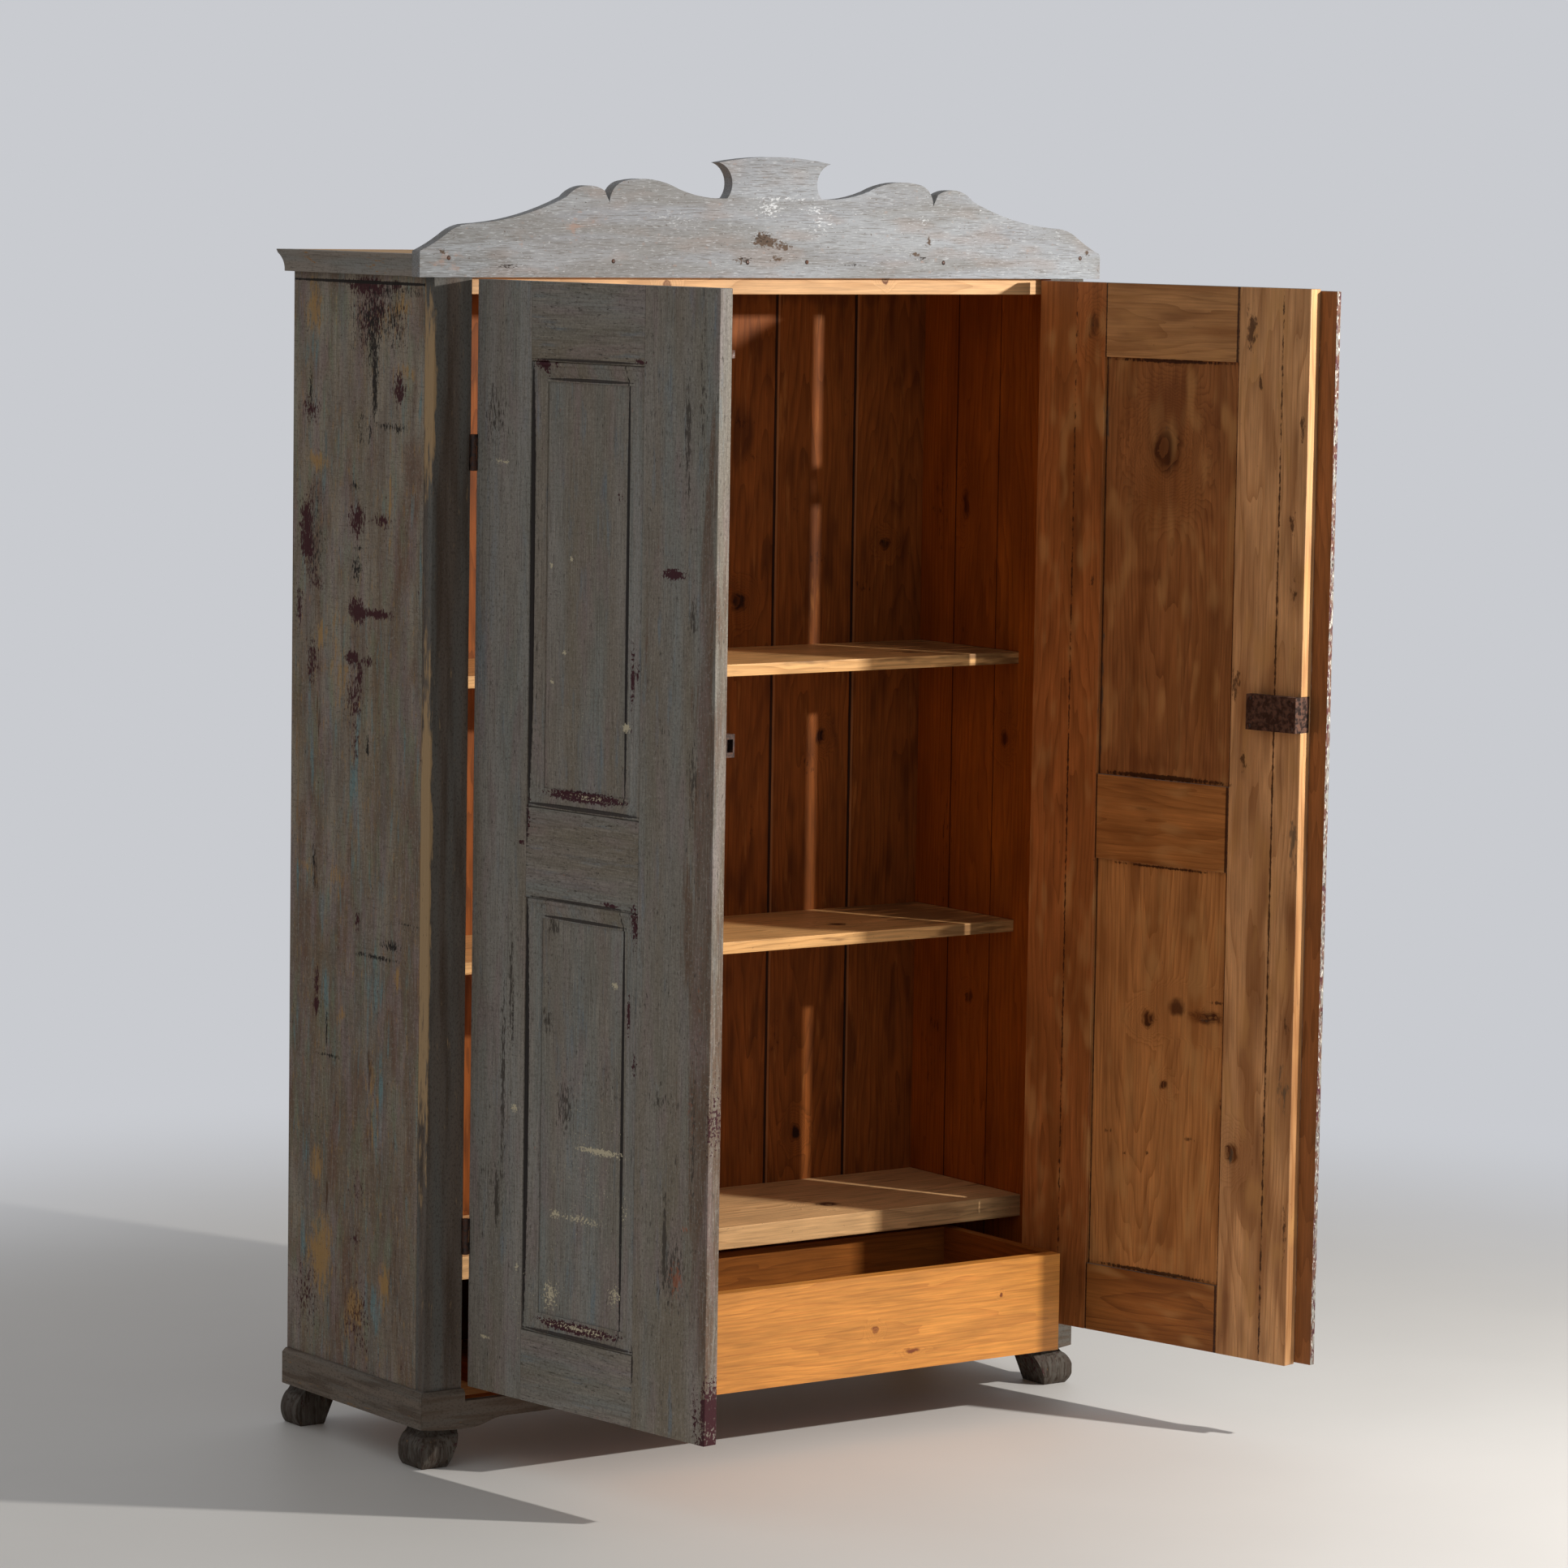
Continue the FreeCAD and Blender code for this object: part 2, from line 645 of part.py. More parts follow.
def hang(item, side, hand):
    """Carry a piece made closed and at the pivot to its door's place, open as it stands."""
    turn = 1 if hand > 0 else -1
    item.Placement = Placement(Vector(), Rotation(UP, turn))
    item.setExpression("Placement.Base.x", formula(f"shift_x + {hand} * pivot_half"))
    item.setExpression("Placement.Base.y", formula("shift_y - pivot_forward"))
    item.setExpression("Placement.Rotation.Angle", formula(f"{turn} * {side}_open_angle"))
    return node(item)


def along_leaf(hand, low, high):
    """A range along a door, from its pivot towards its free edge."""
    return across(-hand, low, high)


def hinge_heights():
    """The lower and upper ends of each hinge, with a word for its place."""
    for place in ("lower", "upper"):
        yield place, f"{place}_hinge_height", f"{place}_hinge_height + hinge_length"


def hinge_leaf(name, hand, owner_is_door, low, high, origin):
    """A plate let into an edge: the frame's leaf has the middle knuckle, the door's the end ones."""
    inward = hand if not owner_is_door else -hand
    width = across(inward, "hinge_gap", "hinge_gap + hinge_leaf_thickness")
    first_joint = f"{low} + knuckle_length"
    second_joint = f"{high} - knuckle_length"
    if owner_is_door:
        spans = [(low, f"{first_joint} - hinge_knuckle_gap / 2"), (f"{second_joint} + hinge_knuckle_gap / 2", high)]
        bore_radius = "hinge_pin_radius + hinge_pin_clearance"
    else:
        spans = [(f"{first_joint} + hinge_knuckle_gap / 2", f"{second_joint} - hinge_knuckle_gap / 2")]
        bore_radius = "hinge_pin_radius"
    pieces = [block(name + "_plate", width, ("pivot_forward", "pivot_forward + hinge_leaf_depth"),
                    (low, high), origin)]
    for span in spans:
        pieces.append(block(name + "_neck", width, ("0", "pivot_forward"), span, origin))
        pieces.append(rod(name + "_knuckle", ("0", "0"), span, "hinge_knuckle_radius", origin))
    bore = rod(name + "_bore", ("0", "0"), (low, high), bore_radius, origin)
    return cut(name, fuse(name + "_body", pieces), [bore])


def make_frame_hinges():
    """The fixed leaves on the stiles' edges, and the pins that they hold."""
    leaves = []
    pins = []
    for side, hand in SIDES:
        origin = (f"shift_x + {hand} * pivot_half", "shift_y - pivot_forward")
        for place, low, high in hinge_heights():
            leaves.append(hinge_leaf(f"{side}_{place}_frame_leaf", hand, False, low, high, origin))
            pins.append(rod(f"{side}_{place}_pin", ("0", "0"), (low, high), "hinge_pin_radius", origin))
    node(group("hinge_pins", pins))
    return node(group("frame_hinge_leaves", leaves))


def moulding_strip(name, hand, corner, angle, length):
    """One mitred strip: length along its own X, width along Z, against the panel's face."""
    deep = size("moulding_height")
    wide = size("moulding_width")
    panel = size("panel_front")
    long = size(length)

    def point(width_share, height_share):
        return (panel - height_share * deep, width_share * wide)

    strip = new_body(name, corner[:2])
    bead = tuple(point(*share) for share in BEAD_SHARES)
    ogees = [tuple(point(*share) for share in pair) for pair in OGEE_SHARES]
    section = outline(point(0, 0), point(0, BEAD_START_SHARE), bead, *ogees, point(1, FILLET_SHARE), point(1, 0))
    pad(strip, "YZ_Plane", section, length)
    trim(strip, "XZ_Plane", outline((0, 0), (0, wide), (wide, wide)))
    trim(strip, "XZ_Plane", outline((long, 0), (long - wide, wide), (long, wide)))
    strip.Placement = Placement(Vector(), Rotation(Vector(0, 1, 0), angle))
    strip.setExpression("Placement.Base.x", formula(corner[0]))
    strip.setExpression("Placement.Base.z", formula(corner[2]))
    return strip


def make_mouldings(side, hand, openings):
    """Four mitred strips round the outer face of each panel."""
    strips = []
    for place, (near, far), (low, high) in openings:
        start, end = along_leaf(hand, near, far)
        wide = f"({end}) - ({start})"
        tall = f"({high}) - ({low})"
        name = f"{side}_{place}_moulding"
        strips.append(moulding_strip(name + "_bottom", hand, (start, "0", low), 0, wide))
        strips.append(moulding_strip(name + "_right", hand, (end, "0", low), -90, tall))
        strips.append(moulding_strip(name + "_top", hand, (end, "0", high), 180, wide))
        strips.append(moulding_strip(name + "_left", hand, (start, "0", high), 90, tall))
    hang(group(f"{side}_door_mouldings", strips), side, hand)


def make_panels(side, hand, openings):
    """Flat panels that float in the frame's grooves, and the grooves themselves."""
    grooves = []
    for place, (near, far), (low, high) in openings:
        span = along_leaf(hand, f"{near} - panel_groove", f"{far} + panel_groove")
        height = (f"{low} - panel_groove", f"{high} + panel_groove")
        left, right = (size(text) for text in span)
        under, top = (size(text) for text in height)
        edges = outline((left, under), (right, under), (right, top), (left, top))
        hang(extrude_back(f"{side}_door_{place}_panel", edges, "panel_front", "panel_back", LEAF), side, hand)
        grooves.append(block(f"{side}_{place}_groove", span, ("panel_front", "panel_back"), height, LEAF))
    return grooves


def make_door(side, hand):
    """A framed door of two stiles, three tenoned rails and two panels, and its hinge leaves."""
    inner = f"hinge_gap + {side}_hinge_stile_width"
    outer = f"leaf_reach - {side}_lock_stile_width"
    openings = (
        ("lower", (inner, outer), ("door_bottom_rail_top", "door_mid_rail_under")),
        ("upper", (inner, outer), ("door_mid_rail_top", "door_top_rail_under")),
    )
    grooves = make_panels(side, hand, openings)
    make_mouldings(side, hand, openings)
    depth = ("leaf_front", "leaf_back")
    tenons = []
    for name, low, high in DOOR_RAILS:
        reach = along_leaf(hand, f"{inner} - door_tenon_length", f"{outer} + door_tenon_length")
        tenon = block(f"{side}_{name}_tenon", reach, ("panel_front", "panel_back"),
                      (f"{low} + door_tenon_inset", f"{high} - door_tenon_inset"), LEAF)
        rail = block(f"{side}_{name}_face", along_leaf(hand, inner, outer), depth, (low, high), LEAF)
        tenons.append(tenon)
        hang(cut(f"{side}_door_{name}", fuse(f"{side}_{name}_body", [rail, tenon]), grooves), side, hand)
    leaves = [hinge_leaf(f"{side}_{place}_door_leaf", hand, True, low, high, LEAF)
              for place, low, high in hinge_heights()]
    hang(group(f"{side}_door_hinge_leaves", leaves), side, hand)
    seat = along_leaf(hand, "hinge_gap", "hinge_gap + hinge_leaf_thickness")
    leaf_seats = [block(f"{side}_{place}_leaf_seat", seat, ("leaf_front", "leaf_front + hinge_leaf_depth"),
                        (low, high), LEAF)
                  for place, low, high in hinge_heights()]
    height = ("door_under", "door_top")
    hinge_board = block(f"{side}_hinge_stile_board", along_leaf(hand, "hinge_gap", inner), depth, height, LEAF)
    hang(cut(f"{side}_door_hinge_stile", hinge_board, tenons + grooves + leaf_seats), side, hand)
    lock_board = block(f"{side}_lock_stile_board", along_leaf(hand, outer, "leaf_reach"), depth, height, LEAF)
    lock_seats = make_lock(side, hand) if side == "right" else []
    hang(cut(f"{side}_door_lock_stile", lock_board, tenons + grooves + lock_seats), side, hand)


def make_lock(side, hand):
    """An iron rim lock on the door's inner face, with its forend let into the edge."""
    forend_start = "leaf_reach - lock_wall"
    height = ("lock_under", "lock_top")
    case = block("lock_case_box", along_leaf(hand, "lock_start", "leaf_reach"), ("leaf_back", "lock_back"),
                 height, LEAF)
    forend = block("lock_forend", along_leaf(hand, forend_start, "leaf_reach"),
                   ("leaf_front + forend_front", "leaf_back"), height, LEAF)
    hollow = block("lock_hollow", along_leaf(hand, "lock_start + lock_wall", forend_start),
                   ("leaf_back + lock_wall", "lock_back - lock_wall"),
                   ("lock_under + lock_wall", "lock_top - lock_wall"), LEAF)
    gap = "lock_bolt_clearance"
    bolt_height = ("lock_middle - lock_bolt_height / 2", "lock_middle + lock_bolt_height / 2")
    passage = block("lock_bolt_passage", along_leaf(hand, forend_start, "leaf_reach"),
                    (f"bolt_front - {gap}", f"bolt_back + {gap}"),
                    (f"{bolt_height[0]} - {gap}", f"{bolt_height[1]} + {gap}"), LEAF)
    key_centre = "leaf_reach - keyhole_reach"
    slot = along_leaf(hand, f"{key_centre} - keyhole_slot / 2", f"{key_centre} + keyhole_slot / 2")
    key_hole = block("keyhole_slot", slot, ("leaf_front", "leaf_back + lock_wall"),
                     ("lock_middle - keyhole_drop - 2 * keyhole_radius", "lock_middle - keyhole_drop"), LEAF)
    hang(cut("right_lock_case", fuse("lock_case_body", [case, forend]), [hollow, passage, key_hole]), side, hand)
    bolt = block("lock_bolt_bar", along_leaf(hand, "leaf_reach - lock_bolt_length", "leaf_reach"),
                 ("bolt_front", "bolt_back"), bolt_height, LEAF)
    key_sweep = along_leaf(hand, f"{key_centre} - keyhole_radius", f"{key_centre} + keyhole_radius")
    talon = block("lock_bolt_talon", key_sweep, ("bolt_front", "bolt_back"),
                  (bolt_height[0], f"{bolt_height[0]} + keyhole_radius"), LEAF)
    hang(cut("lock_bolt", bolt, [talon]), side, hand)
    return [forend, key_hole]


def make_keeper(side, hand):
    """The box on the left door's inner face that the lock's bolt enters."""
    body = block("keeper_box", along_leaf(hand, "leaf_reach - keeper_length", "leaf_reach"),
                 ("leaf_back", "leaf_back + keeper_depth"),
                 ("lock_middle - keeper_height / 2", "lock_middle + keeper_height / 2"), LEAF)
    gap = "keeper_clearance"
    mouth = block("keeper_mouth", along_leaf(hand, "leaf_reach - keeper_length + keeper_wall", "leaf_reach"),
                  (f"bolt_front - {gap}", f"bolt_back + {gap}"),
                  (f"lock_middle - lock_bolt_height / 2 - {gap}",
                   f"lock_middle + lock_bolt_height / 2 + {gap}"), LEAF)
    hang(cut("left_lock_keeper", body, [mouth]), side, hand)


def make_top_bolt(side, hand):
    """A slide bolt on the left door's inner face that holds it to the top rail."""
    half_plate = "top_bolt_plate_width / 2"
    half_guide = "top_bolt_guide_width / 2"
    half_bolt = "top_bolt_width / 2"
    gap = "top_bolt_clearance"

    def centred(half):
        return along_leaf(hand, f"top_bolt_reach - {half}", f"top_bolt_reach + {half}")

    pieces = [block("top_bolt_back_plate", centred(half_plate), ("leaf_back", "leaf_back + top_bolt_plate_thickness"),
                    ("top_bolt_plate_under", "top_bolt_plate_top"), LEAF)]
    guide_lows = (
        "top_bolt_plate_under + top_bolt_guide_margin",
        "top_bolt_plate_top - top_bolt_guide_margin - top_bolt_guide_height",
    )
    for low in guide_lows:
        pieces.append(block("top_bolt_guide", centred(half_guide),
                            ("leaf_back", "top_bolt_rear + top_bolt_plate_thickness"),
                            (low, f"{low} + top_bolt_guide_height"), LEAF))
    passage = block("top_bolt_passage", centred(f"({half_bolt} + {gap})"),
                    (f"top_bolt_front - {gap}", f"top_bolt_rear + {gap}"),
                    ("top_bolt_plate_under", "top_bolt_plate_top"), LEAF)
    hang(cut("top_bolt_plate", fuse("top_bolt_plate_body", pieces), [passage]), side, hand)
    bar = block("top_bolt_bar", centred(half_bolt), ("top_bolt_front", "top_bolt_rear"),
                ("top_bolt_under", "top_bolt_top"), LEAF)
    knob_low = "top_bolt_under + top_bolt_length / 2 - top_bolt_knob_width / 2"
    knob = block("top_bolt_knob", centred(half_bolt), ("top_bolt_rear", "top_bolt_rear + top_bolt_knob_depth"),
                 (knob_low, f"{knob_low} + top_bolt_knob_width"), LEAF)
    hang(fuse("top_bolt", [bar, knob]), side, hand)


def make_cover_strip(side, hand):
    """A strip with rounded edges on the right door that covers the gap between the doors."""
    face = size("leaf_front")
    front = face - size("strip_thickness")
    corner = size("strip_corner")
    bend = corner * (1 - 0.5 ** 0.5)
    start = -hand * size("strip_start")
    end = -hand * size("strip_end")
    edge = -hand * size("leaf_reach")
    relief = face - size("strip_relief")
    section = outline(
        (start, face), (start, front + corner),
        ((start - hand * bend, front + bend), (start - hand * corner, front)), (end + hand * corner, front),
        ((end + hand * bend, front + bend), (end, front + corner)), (end, relief), (edge, relief), (edge, face))
    strip = new_body("right_door_cover_strip")
    pad(strip, "XY_Plane", section, "door_top - door_under - 2 * strip_end_gap", "door_under + strip_end_gap")
    hang(strip, side, hand)


frame_leaves = make_frame_hinges()
make_sides(make_inner_boards())
make_frame(frame_leaves)
make_back()
make_crest()
make_cornice()
make_plinth()
make_feet()
make_drawer()
for door_side, door_hand in SIDES:
    make_door(door_side, door_hand)
make_keeper("left", -1)
make_top_bolt("left", -1)
make_cover_strip("right", 1)
doc.recompute()

for item in doc.Objects:
    if "Invalid" in item.State or "Error" in item.State:
        raise RuntimeError(f"{item.Name} did not compute: {item.State}")
    if item.TypeId == "PartDesign::Pocket" and item.Shape.Volume >= item.BaseFeature.Shape.Volume:
        raise RuntimeError(f"{item.Name} cuts nothing")
for item in NODES:
    if item.Shape.isNull() or not item.Shape.isValid():
        raise RuntimeError(f"{item.Label} has no valid shape")
os.makedirs("parts", exist_ok=True)
for item in NODES:
    item.Shape.exportStep(f"parts/{item.Label}.step")
whole = FreeCAD.BoundBox()
for item in NODES:
    whole.add(item.Shape.BoundBox)
    print(item.Label, len(item.Shape.Solids), round(item.Shape.Volume / 1000, 1))
print(len(NODES), "pieces", whole)
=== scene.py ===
import math
import bmesh
import bpy
from mathutils import Matrix, Vector


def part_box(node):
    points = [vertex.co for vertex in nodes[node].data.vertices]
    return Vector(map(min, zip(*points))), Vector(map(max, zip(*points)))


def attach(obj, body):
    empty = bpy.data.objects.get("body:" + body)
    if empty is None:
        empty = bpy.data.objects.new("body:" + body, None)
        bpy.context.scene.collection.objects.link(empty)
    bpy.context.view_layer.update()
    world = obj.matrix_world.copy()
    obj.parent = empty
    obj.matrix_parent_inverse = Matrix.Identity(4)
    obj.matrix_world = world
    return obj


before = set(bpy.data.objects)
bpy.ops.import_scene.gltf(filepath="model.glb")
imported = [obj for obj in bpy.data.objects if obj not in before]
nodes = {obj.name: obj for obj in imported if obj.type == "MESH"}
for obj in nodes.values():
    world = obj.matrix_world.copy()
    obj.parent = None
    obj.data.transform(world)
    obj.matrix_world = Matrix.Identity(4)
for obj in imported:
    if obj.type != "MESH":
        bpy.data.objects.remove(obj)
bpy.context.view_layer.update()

# Camera
# It stands where the photograph's perspective puts it, some 9 m off to the front left and as high
# as the crest, with a long lens, level but for a slight downward tilt.
camera_data = bpy.data.cameras.new("camera")
camera_data.lens = 133.3
camera_data.sensor_width = 36
camera = bpy.data.objects.new("camera", camera_data)
bpy.context.collection.objects.link(camera)
bpy.context.scene.camera = camera
yaw = math.radians(35.558)
pitch = math.radians(-6.027)
roll = math.radians(0.9054)
ahead = Vector((math.sin(yaw) * math.cos(pitch), math.cos(yaw) * math.cos(pitch), math.sin(pitch)))
level = Vector((math.cos(yaw), -math.sin(yaw), 0))
upward = level.cross(ahead)
camera_x = level * math.cos(roll) + upward * math.sin(roll)
camera_y = upward * math.cos(roll) - level * math.sin(roll)
camera_turn = Matrix((camera_x, camera_y, -ahead)).transposed().to_4x4()
camera_place = (-5.2589, -7.3121, 1.979)
camera.matrix_world = Matrix.Translation(camera_place) @ camera_turn


# Studio
# A pale floor that fades into a pale grey surround. One small lamp near the front right throws the
# sharp shadows of the photograph, and an even fill comes from all round.
def linear(colour):
    """An sRGB hex colour as linear RGBA."""
    parts = (int(colour[start:start + 2], 16) / 255 for start in (1, 3, 5))
    return (*(part / 12.92 if part <= 0.04045 else ((part + 0.055) / 1.055) ** 2.4 for part in parts), 1)


def add(tree, kind, links=None, out=0, **settings):
    """Add a shader node with its settings, its inputs linked to outputs or set to plain values."""
    item = tree.nodes.new("ShaderNode" + kind)
    for name, value in settings.items():
        setattr(item, name, value)
    for socket, source in (links or {}).items():
        if isinstance(source, bpy.types.NodeSocket):
            tree.links.new(source, item.inputs[socket])
        else:
            item.inputs[socket].default_value = linear(source) if isinstance(source, str) else source
    return item.outputs[out]


def new_material(name):
    """A new material, with its node tree and its shader."""
    material = bpy.data.materials.new(name)
    material.use_nodes = True
    return material, material.node_tree, material.node_tree.nodes["Principled BSDF"]


def new_object(name, mesh):
    """Put a finished bmesh into the scene as an object."""
    data = bpy.data.meshes.new(name)
    mesh.to_mesh(data)
    mesh.free()
    item = bpy.data.objects.new(name, data)
    bpy.context.collection.objects.link(item)
    return item


surround = "#c9cbd0"
world = bpy.data.worlds.new("studio")
bpy.context.scene.world = world
world.use_nodes = True
tree = world.node_tree
rays = add(tree, "LightPath").node.outputs
seen = add(tree, "Math", {0: rays["Is Camera Ray"], 1: rays["Is Glossy Ray"]}, operation="MAXIMUM")
seen = add(tree, "Math", {0: seen, 1: rays["Is Transmission Ray"]}, operation="MAXIMUM")
fill = add(tree, "Background", {"Color": "#ffffff", "Strength": 0.4})
backdrop = add(tree, "Background", {"Color": surround, "Strength": 1})
shown = add(tree, "MixShader", {0: seen, 1: fill, 2: backdrop})
tree.links.new(shown, tree.nodes["World Output"].inputs["Surface"])

floor_material, tree, shader = new_material("painted_concrete_floor")
place = add(tree, "TexCoord", out="Object")
mottle = add(tree, "TexNoise", {"Vector": place, "Scale": 1.7, "Detail": 6})
tone = add(tree, "Mix", {0: mottle, 6: "#cecbc7", 7: "#dad7d3"}, out=2, data_type="RGBA")
tree.links.new(tone, shader.inputs["Base Color"])
shader.inputs["Roughness"].default_value = 0.55

# Seen by the camera, the floor turns into the surround between 1.5 and 3.4 m from its middle.
distance = add(tree, "VectorMath", {0: place}, out="Value", operation="LENGTH")
fade = add(tree, "MapRange", {"Value": distance, "From Min": 1.5, "From Max": 3.4},
           interpolation_type="SMOOTHSTEP")
seen = add(tree, "Math", {0: add(tree, "LightPath"), 1: fade}, operation="MULTIPLY")
glow = add(tree, "Emission", {"Color": surround, "Strength": 1})
surface = add(tree, "MixShader", {0: seen, 1: shader.outputs[0], 2: glow})
tree.links.new(surface, tree.nodes["Material Output"].inputs["Surface"])
mesh = bmesh.new()
bmesh.ops.create_grid(mesh, x_segments=1, y_segments=1, size=60)
floor = new_object("floor", mesh)
floor.data.materials.append(floor_material)

lamp_data = bpy.data.lights.new("key_lamp", "AREA")
lamp_data.size = 0.08
lamp_data.energy = 104
lamp_data.color = linear("#fffcf7")[:3]
lamp = bpy.data.objects.new("key_lamp", lamp_data)
bpy.context.collection.objects.link(lamp)
lamp_place = Vector((1.64, -2.34, 2.1))
lamp_target = Vector((0, 0, 1))
lamp.location = lamp_place
lamp.rotation_euler = (lamp_target - lamp_place).to_track_quat("-Z", "Y").to_euler()
lamp.visible_camera = False
bpy.context.scene.view_settings.view_transform = "Standard"

# Boards inside
# Pine planks, planed by hand, left bare inside and turned honey brown with age and wax: the back
# boards, the bottom and the shelves, housed in the sides. The grain runs along each board.

# How a board lies: the turns in degrees about x, y and z that bring its width, thickness and grain
# from x, y and z to where they run on the wardrobe.
LAY = {
    "upright": (0, 0, 0),
    "across": (0, 90, 0),
    "side_upright": (0, 0, 90),
    "flat": (90, 0, 90),
    "side_deep": (-90, -90, 0),
}
MILLIMETRES = (0.001, 0.001, 0.001)

# The tones of pine: its early wood, late wood and knots, its roughness and its specular level.
WAXED = ("#a0581c", "#74390e", "#3c1c0c", 0.45, 0.12)
AGED = ("#8c4e20", "#5f3312", "#2b140a", 0.55, 0.12)
SHELF = ("#e0ad70", "#b07c44", "#4a2512", 0.45, 0.3)
RAW = ("#d8ac78", "#ad8050", "#553019", 0.7, 0.3)


def pine(tree, centre, lay, turn, heart, knots, seed, tones):
    """Flat-sawn pine: growth rings round a heart off the board's face, bent round its knots.
    Gives its colour, its height in mm and its late wood's lines. Lengths are in mm from the centre,
    and a knot is its place across and along the board, then its half width and half height."""
    early_wood, late_wood, knot_wood = tones[:3]
    ring_width = 6.5
    angles = [math.radians(angle) for angle in LAY[lay]]
    angles[2] += math.radians(turn)
    place = add(tree, "Mapping", {"Vector": add(tree, "TexCoord", out="Object"), "Location": centre,
                                  "Rotation": angles, "Scale": MILLIMETRES}, vector_type="TEXTURE")
    shift = (seed * 1.3, seed * 2.1, seed * 0.7)

    # The rings wander in waves some 80 by 600 mm, the knots' outlines vary over some 20 mm, blotches
    # are some 45 by 170 mm, and the fibres are drawn 3 mm wide so that they show.
    noises = []
    for stretch, detail, roughness in (
        ((0.012, 0.012, 0.0017), 3, 0.5),
        ((0.05, 0.05, 0.04), 3, 0.5),
        ((0.022, 0.022, 0.006), 7, 0.62),
        ((0.35, 0.35, 0.012), 3, 0.5),
    ):
        drawn = add(tree, "VectorMath", {0: place, 1: stretch, 2: shift}, operation="MULTIPLY_ADD")
        noises.append(add(tree, "TexNoise", {"Vector": drawn, "Scale": 1, "Detail": detail,
                                             "Roughness": roughness}))
    wander, uneven, blotch, fibre = noises

    # Each ring lies at its radius from the heart, give or take 30 mm.
    from_heart = add(tree, "VectorMath", {0: place, 1: heart}, operation="SUBTRACT")
    tapered = add(tree, "VectorMath", {0: from_heart, 1: (1, 1, 0.07)}, operation="MULTIPLY")
    radius = add(tree, "VectorMath", {0: tapered}, out="Value", operation="LENGTH")
    radius = add(tree, "Math", {0: wander, 1: 60, 2: radius}, operation="MULTIPLY_ADD")

    # Knots are knocked out of round by up to 11 mm, and push the rings round them outwards.
    uneven = add(tree, "VectorMath", {0: uneven.node.outputs["Color"], 1: (22, 22, 22),
                                      2: (-11, -11, -11)}, operation="MULTIPLY_ADD")
    bent = add(tree, "VectorMath", {0: place, 1: uneven}, operation="ADD")
    dark = None
    for across, along, wide, tall in knots:
        near = add(tree, "Mapping", {"Vector": bent, "Location": (across, 0, along),
                                     "Scale": (wide, 1000, tall)}, vector_type="TEXTURE")
        near = add(tree, "VectorMath", {0: near}, out="Value", operation="LENGTH")
        bend = add(tree, "MapRange", {"Value": near, "From Max": 4.5, "To Min": wide * 5, "To Max": 0},
                   interpolation_type="SMOOTHERSTEP")
        radius = add(tree, "Math", {0: radius, 1: bend}, operation="ADD")
        core = add(tree, "MapRange", {"Value": near, "From Min": 0.5, "From Max": 1.5,
                                      "To Min": 1, "To Max": 0}, interpolation_type="SMOOTHSTEP")
        dark = core if dark is None else add(tree, "Math", {0: dark, 1: core}, operation="MAXIMUM")

    # Each ring darkens slowly into late wood and ends sharply.
    turns = add(tree, "Math", {0: radius, 1: ring_width}, operation="DIVIDE")
    season = add(tree, "Math", {0: turns}, operation="FRACT")
    late = add(tree, "Math", {0: season, 1: 3}, operation="POWER")
    late = add(tree, "Math", {0: late, 1: blotch}, operation="MULTIPLY")
    colour = add(tree, "Mix", {0: late, 6: early_wood, 7: late_wood}, out=2, data_type="RGBA")
    shade = add(tree, "MapRange", {"Value": blotch, "From Min": 0.25, "From Max": 0.75,
                                   "To Min": 0.74, "To Max": 1.22})
    streak = add(tree, "MapRange", {"Value": fibre, "From Min": 0.3, "From Max": 0.7,
                                    "To Min": 0.8, "To Max": 1.16})
    shade = add(tree, "Math", {0: shade, 1: streak}, operation="MULTIPLY")
    colour = add(tree, "VectorMath", {0: colour, "Scale": shade}, operation="SCALE")
    if dark:
        dark = add(tree, "Math", {0: dark, 1: season, 2: dark}, operation="MULTIPLY_ADD")
        dark = add(tree, "Math", {0: dark, 1: 0.65}, operation="MULTIPLY", use_clamp=True)
        colour = add(tree, "Mix", {0: dark, 6: colour, 7: knot_wood}, out=2, data_type="RGBA")

    # Late wood stands up to 0.1 mm out of the face, and the fibres up to 0.16 mm.
    height = add(tree, "Math", {0: late, 1: 0.1}, operation="MULTIPLY")
    height = add(tree, "Math", {0: fibre, 1: 0.16, 2: height}, operation="MULTIPLY_ADD")
    return colour, height, late


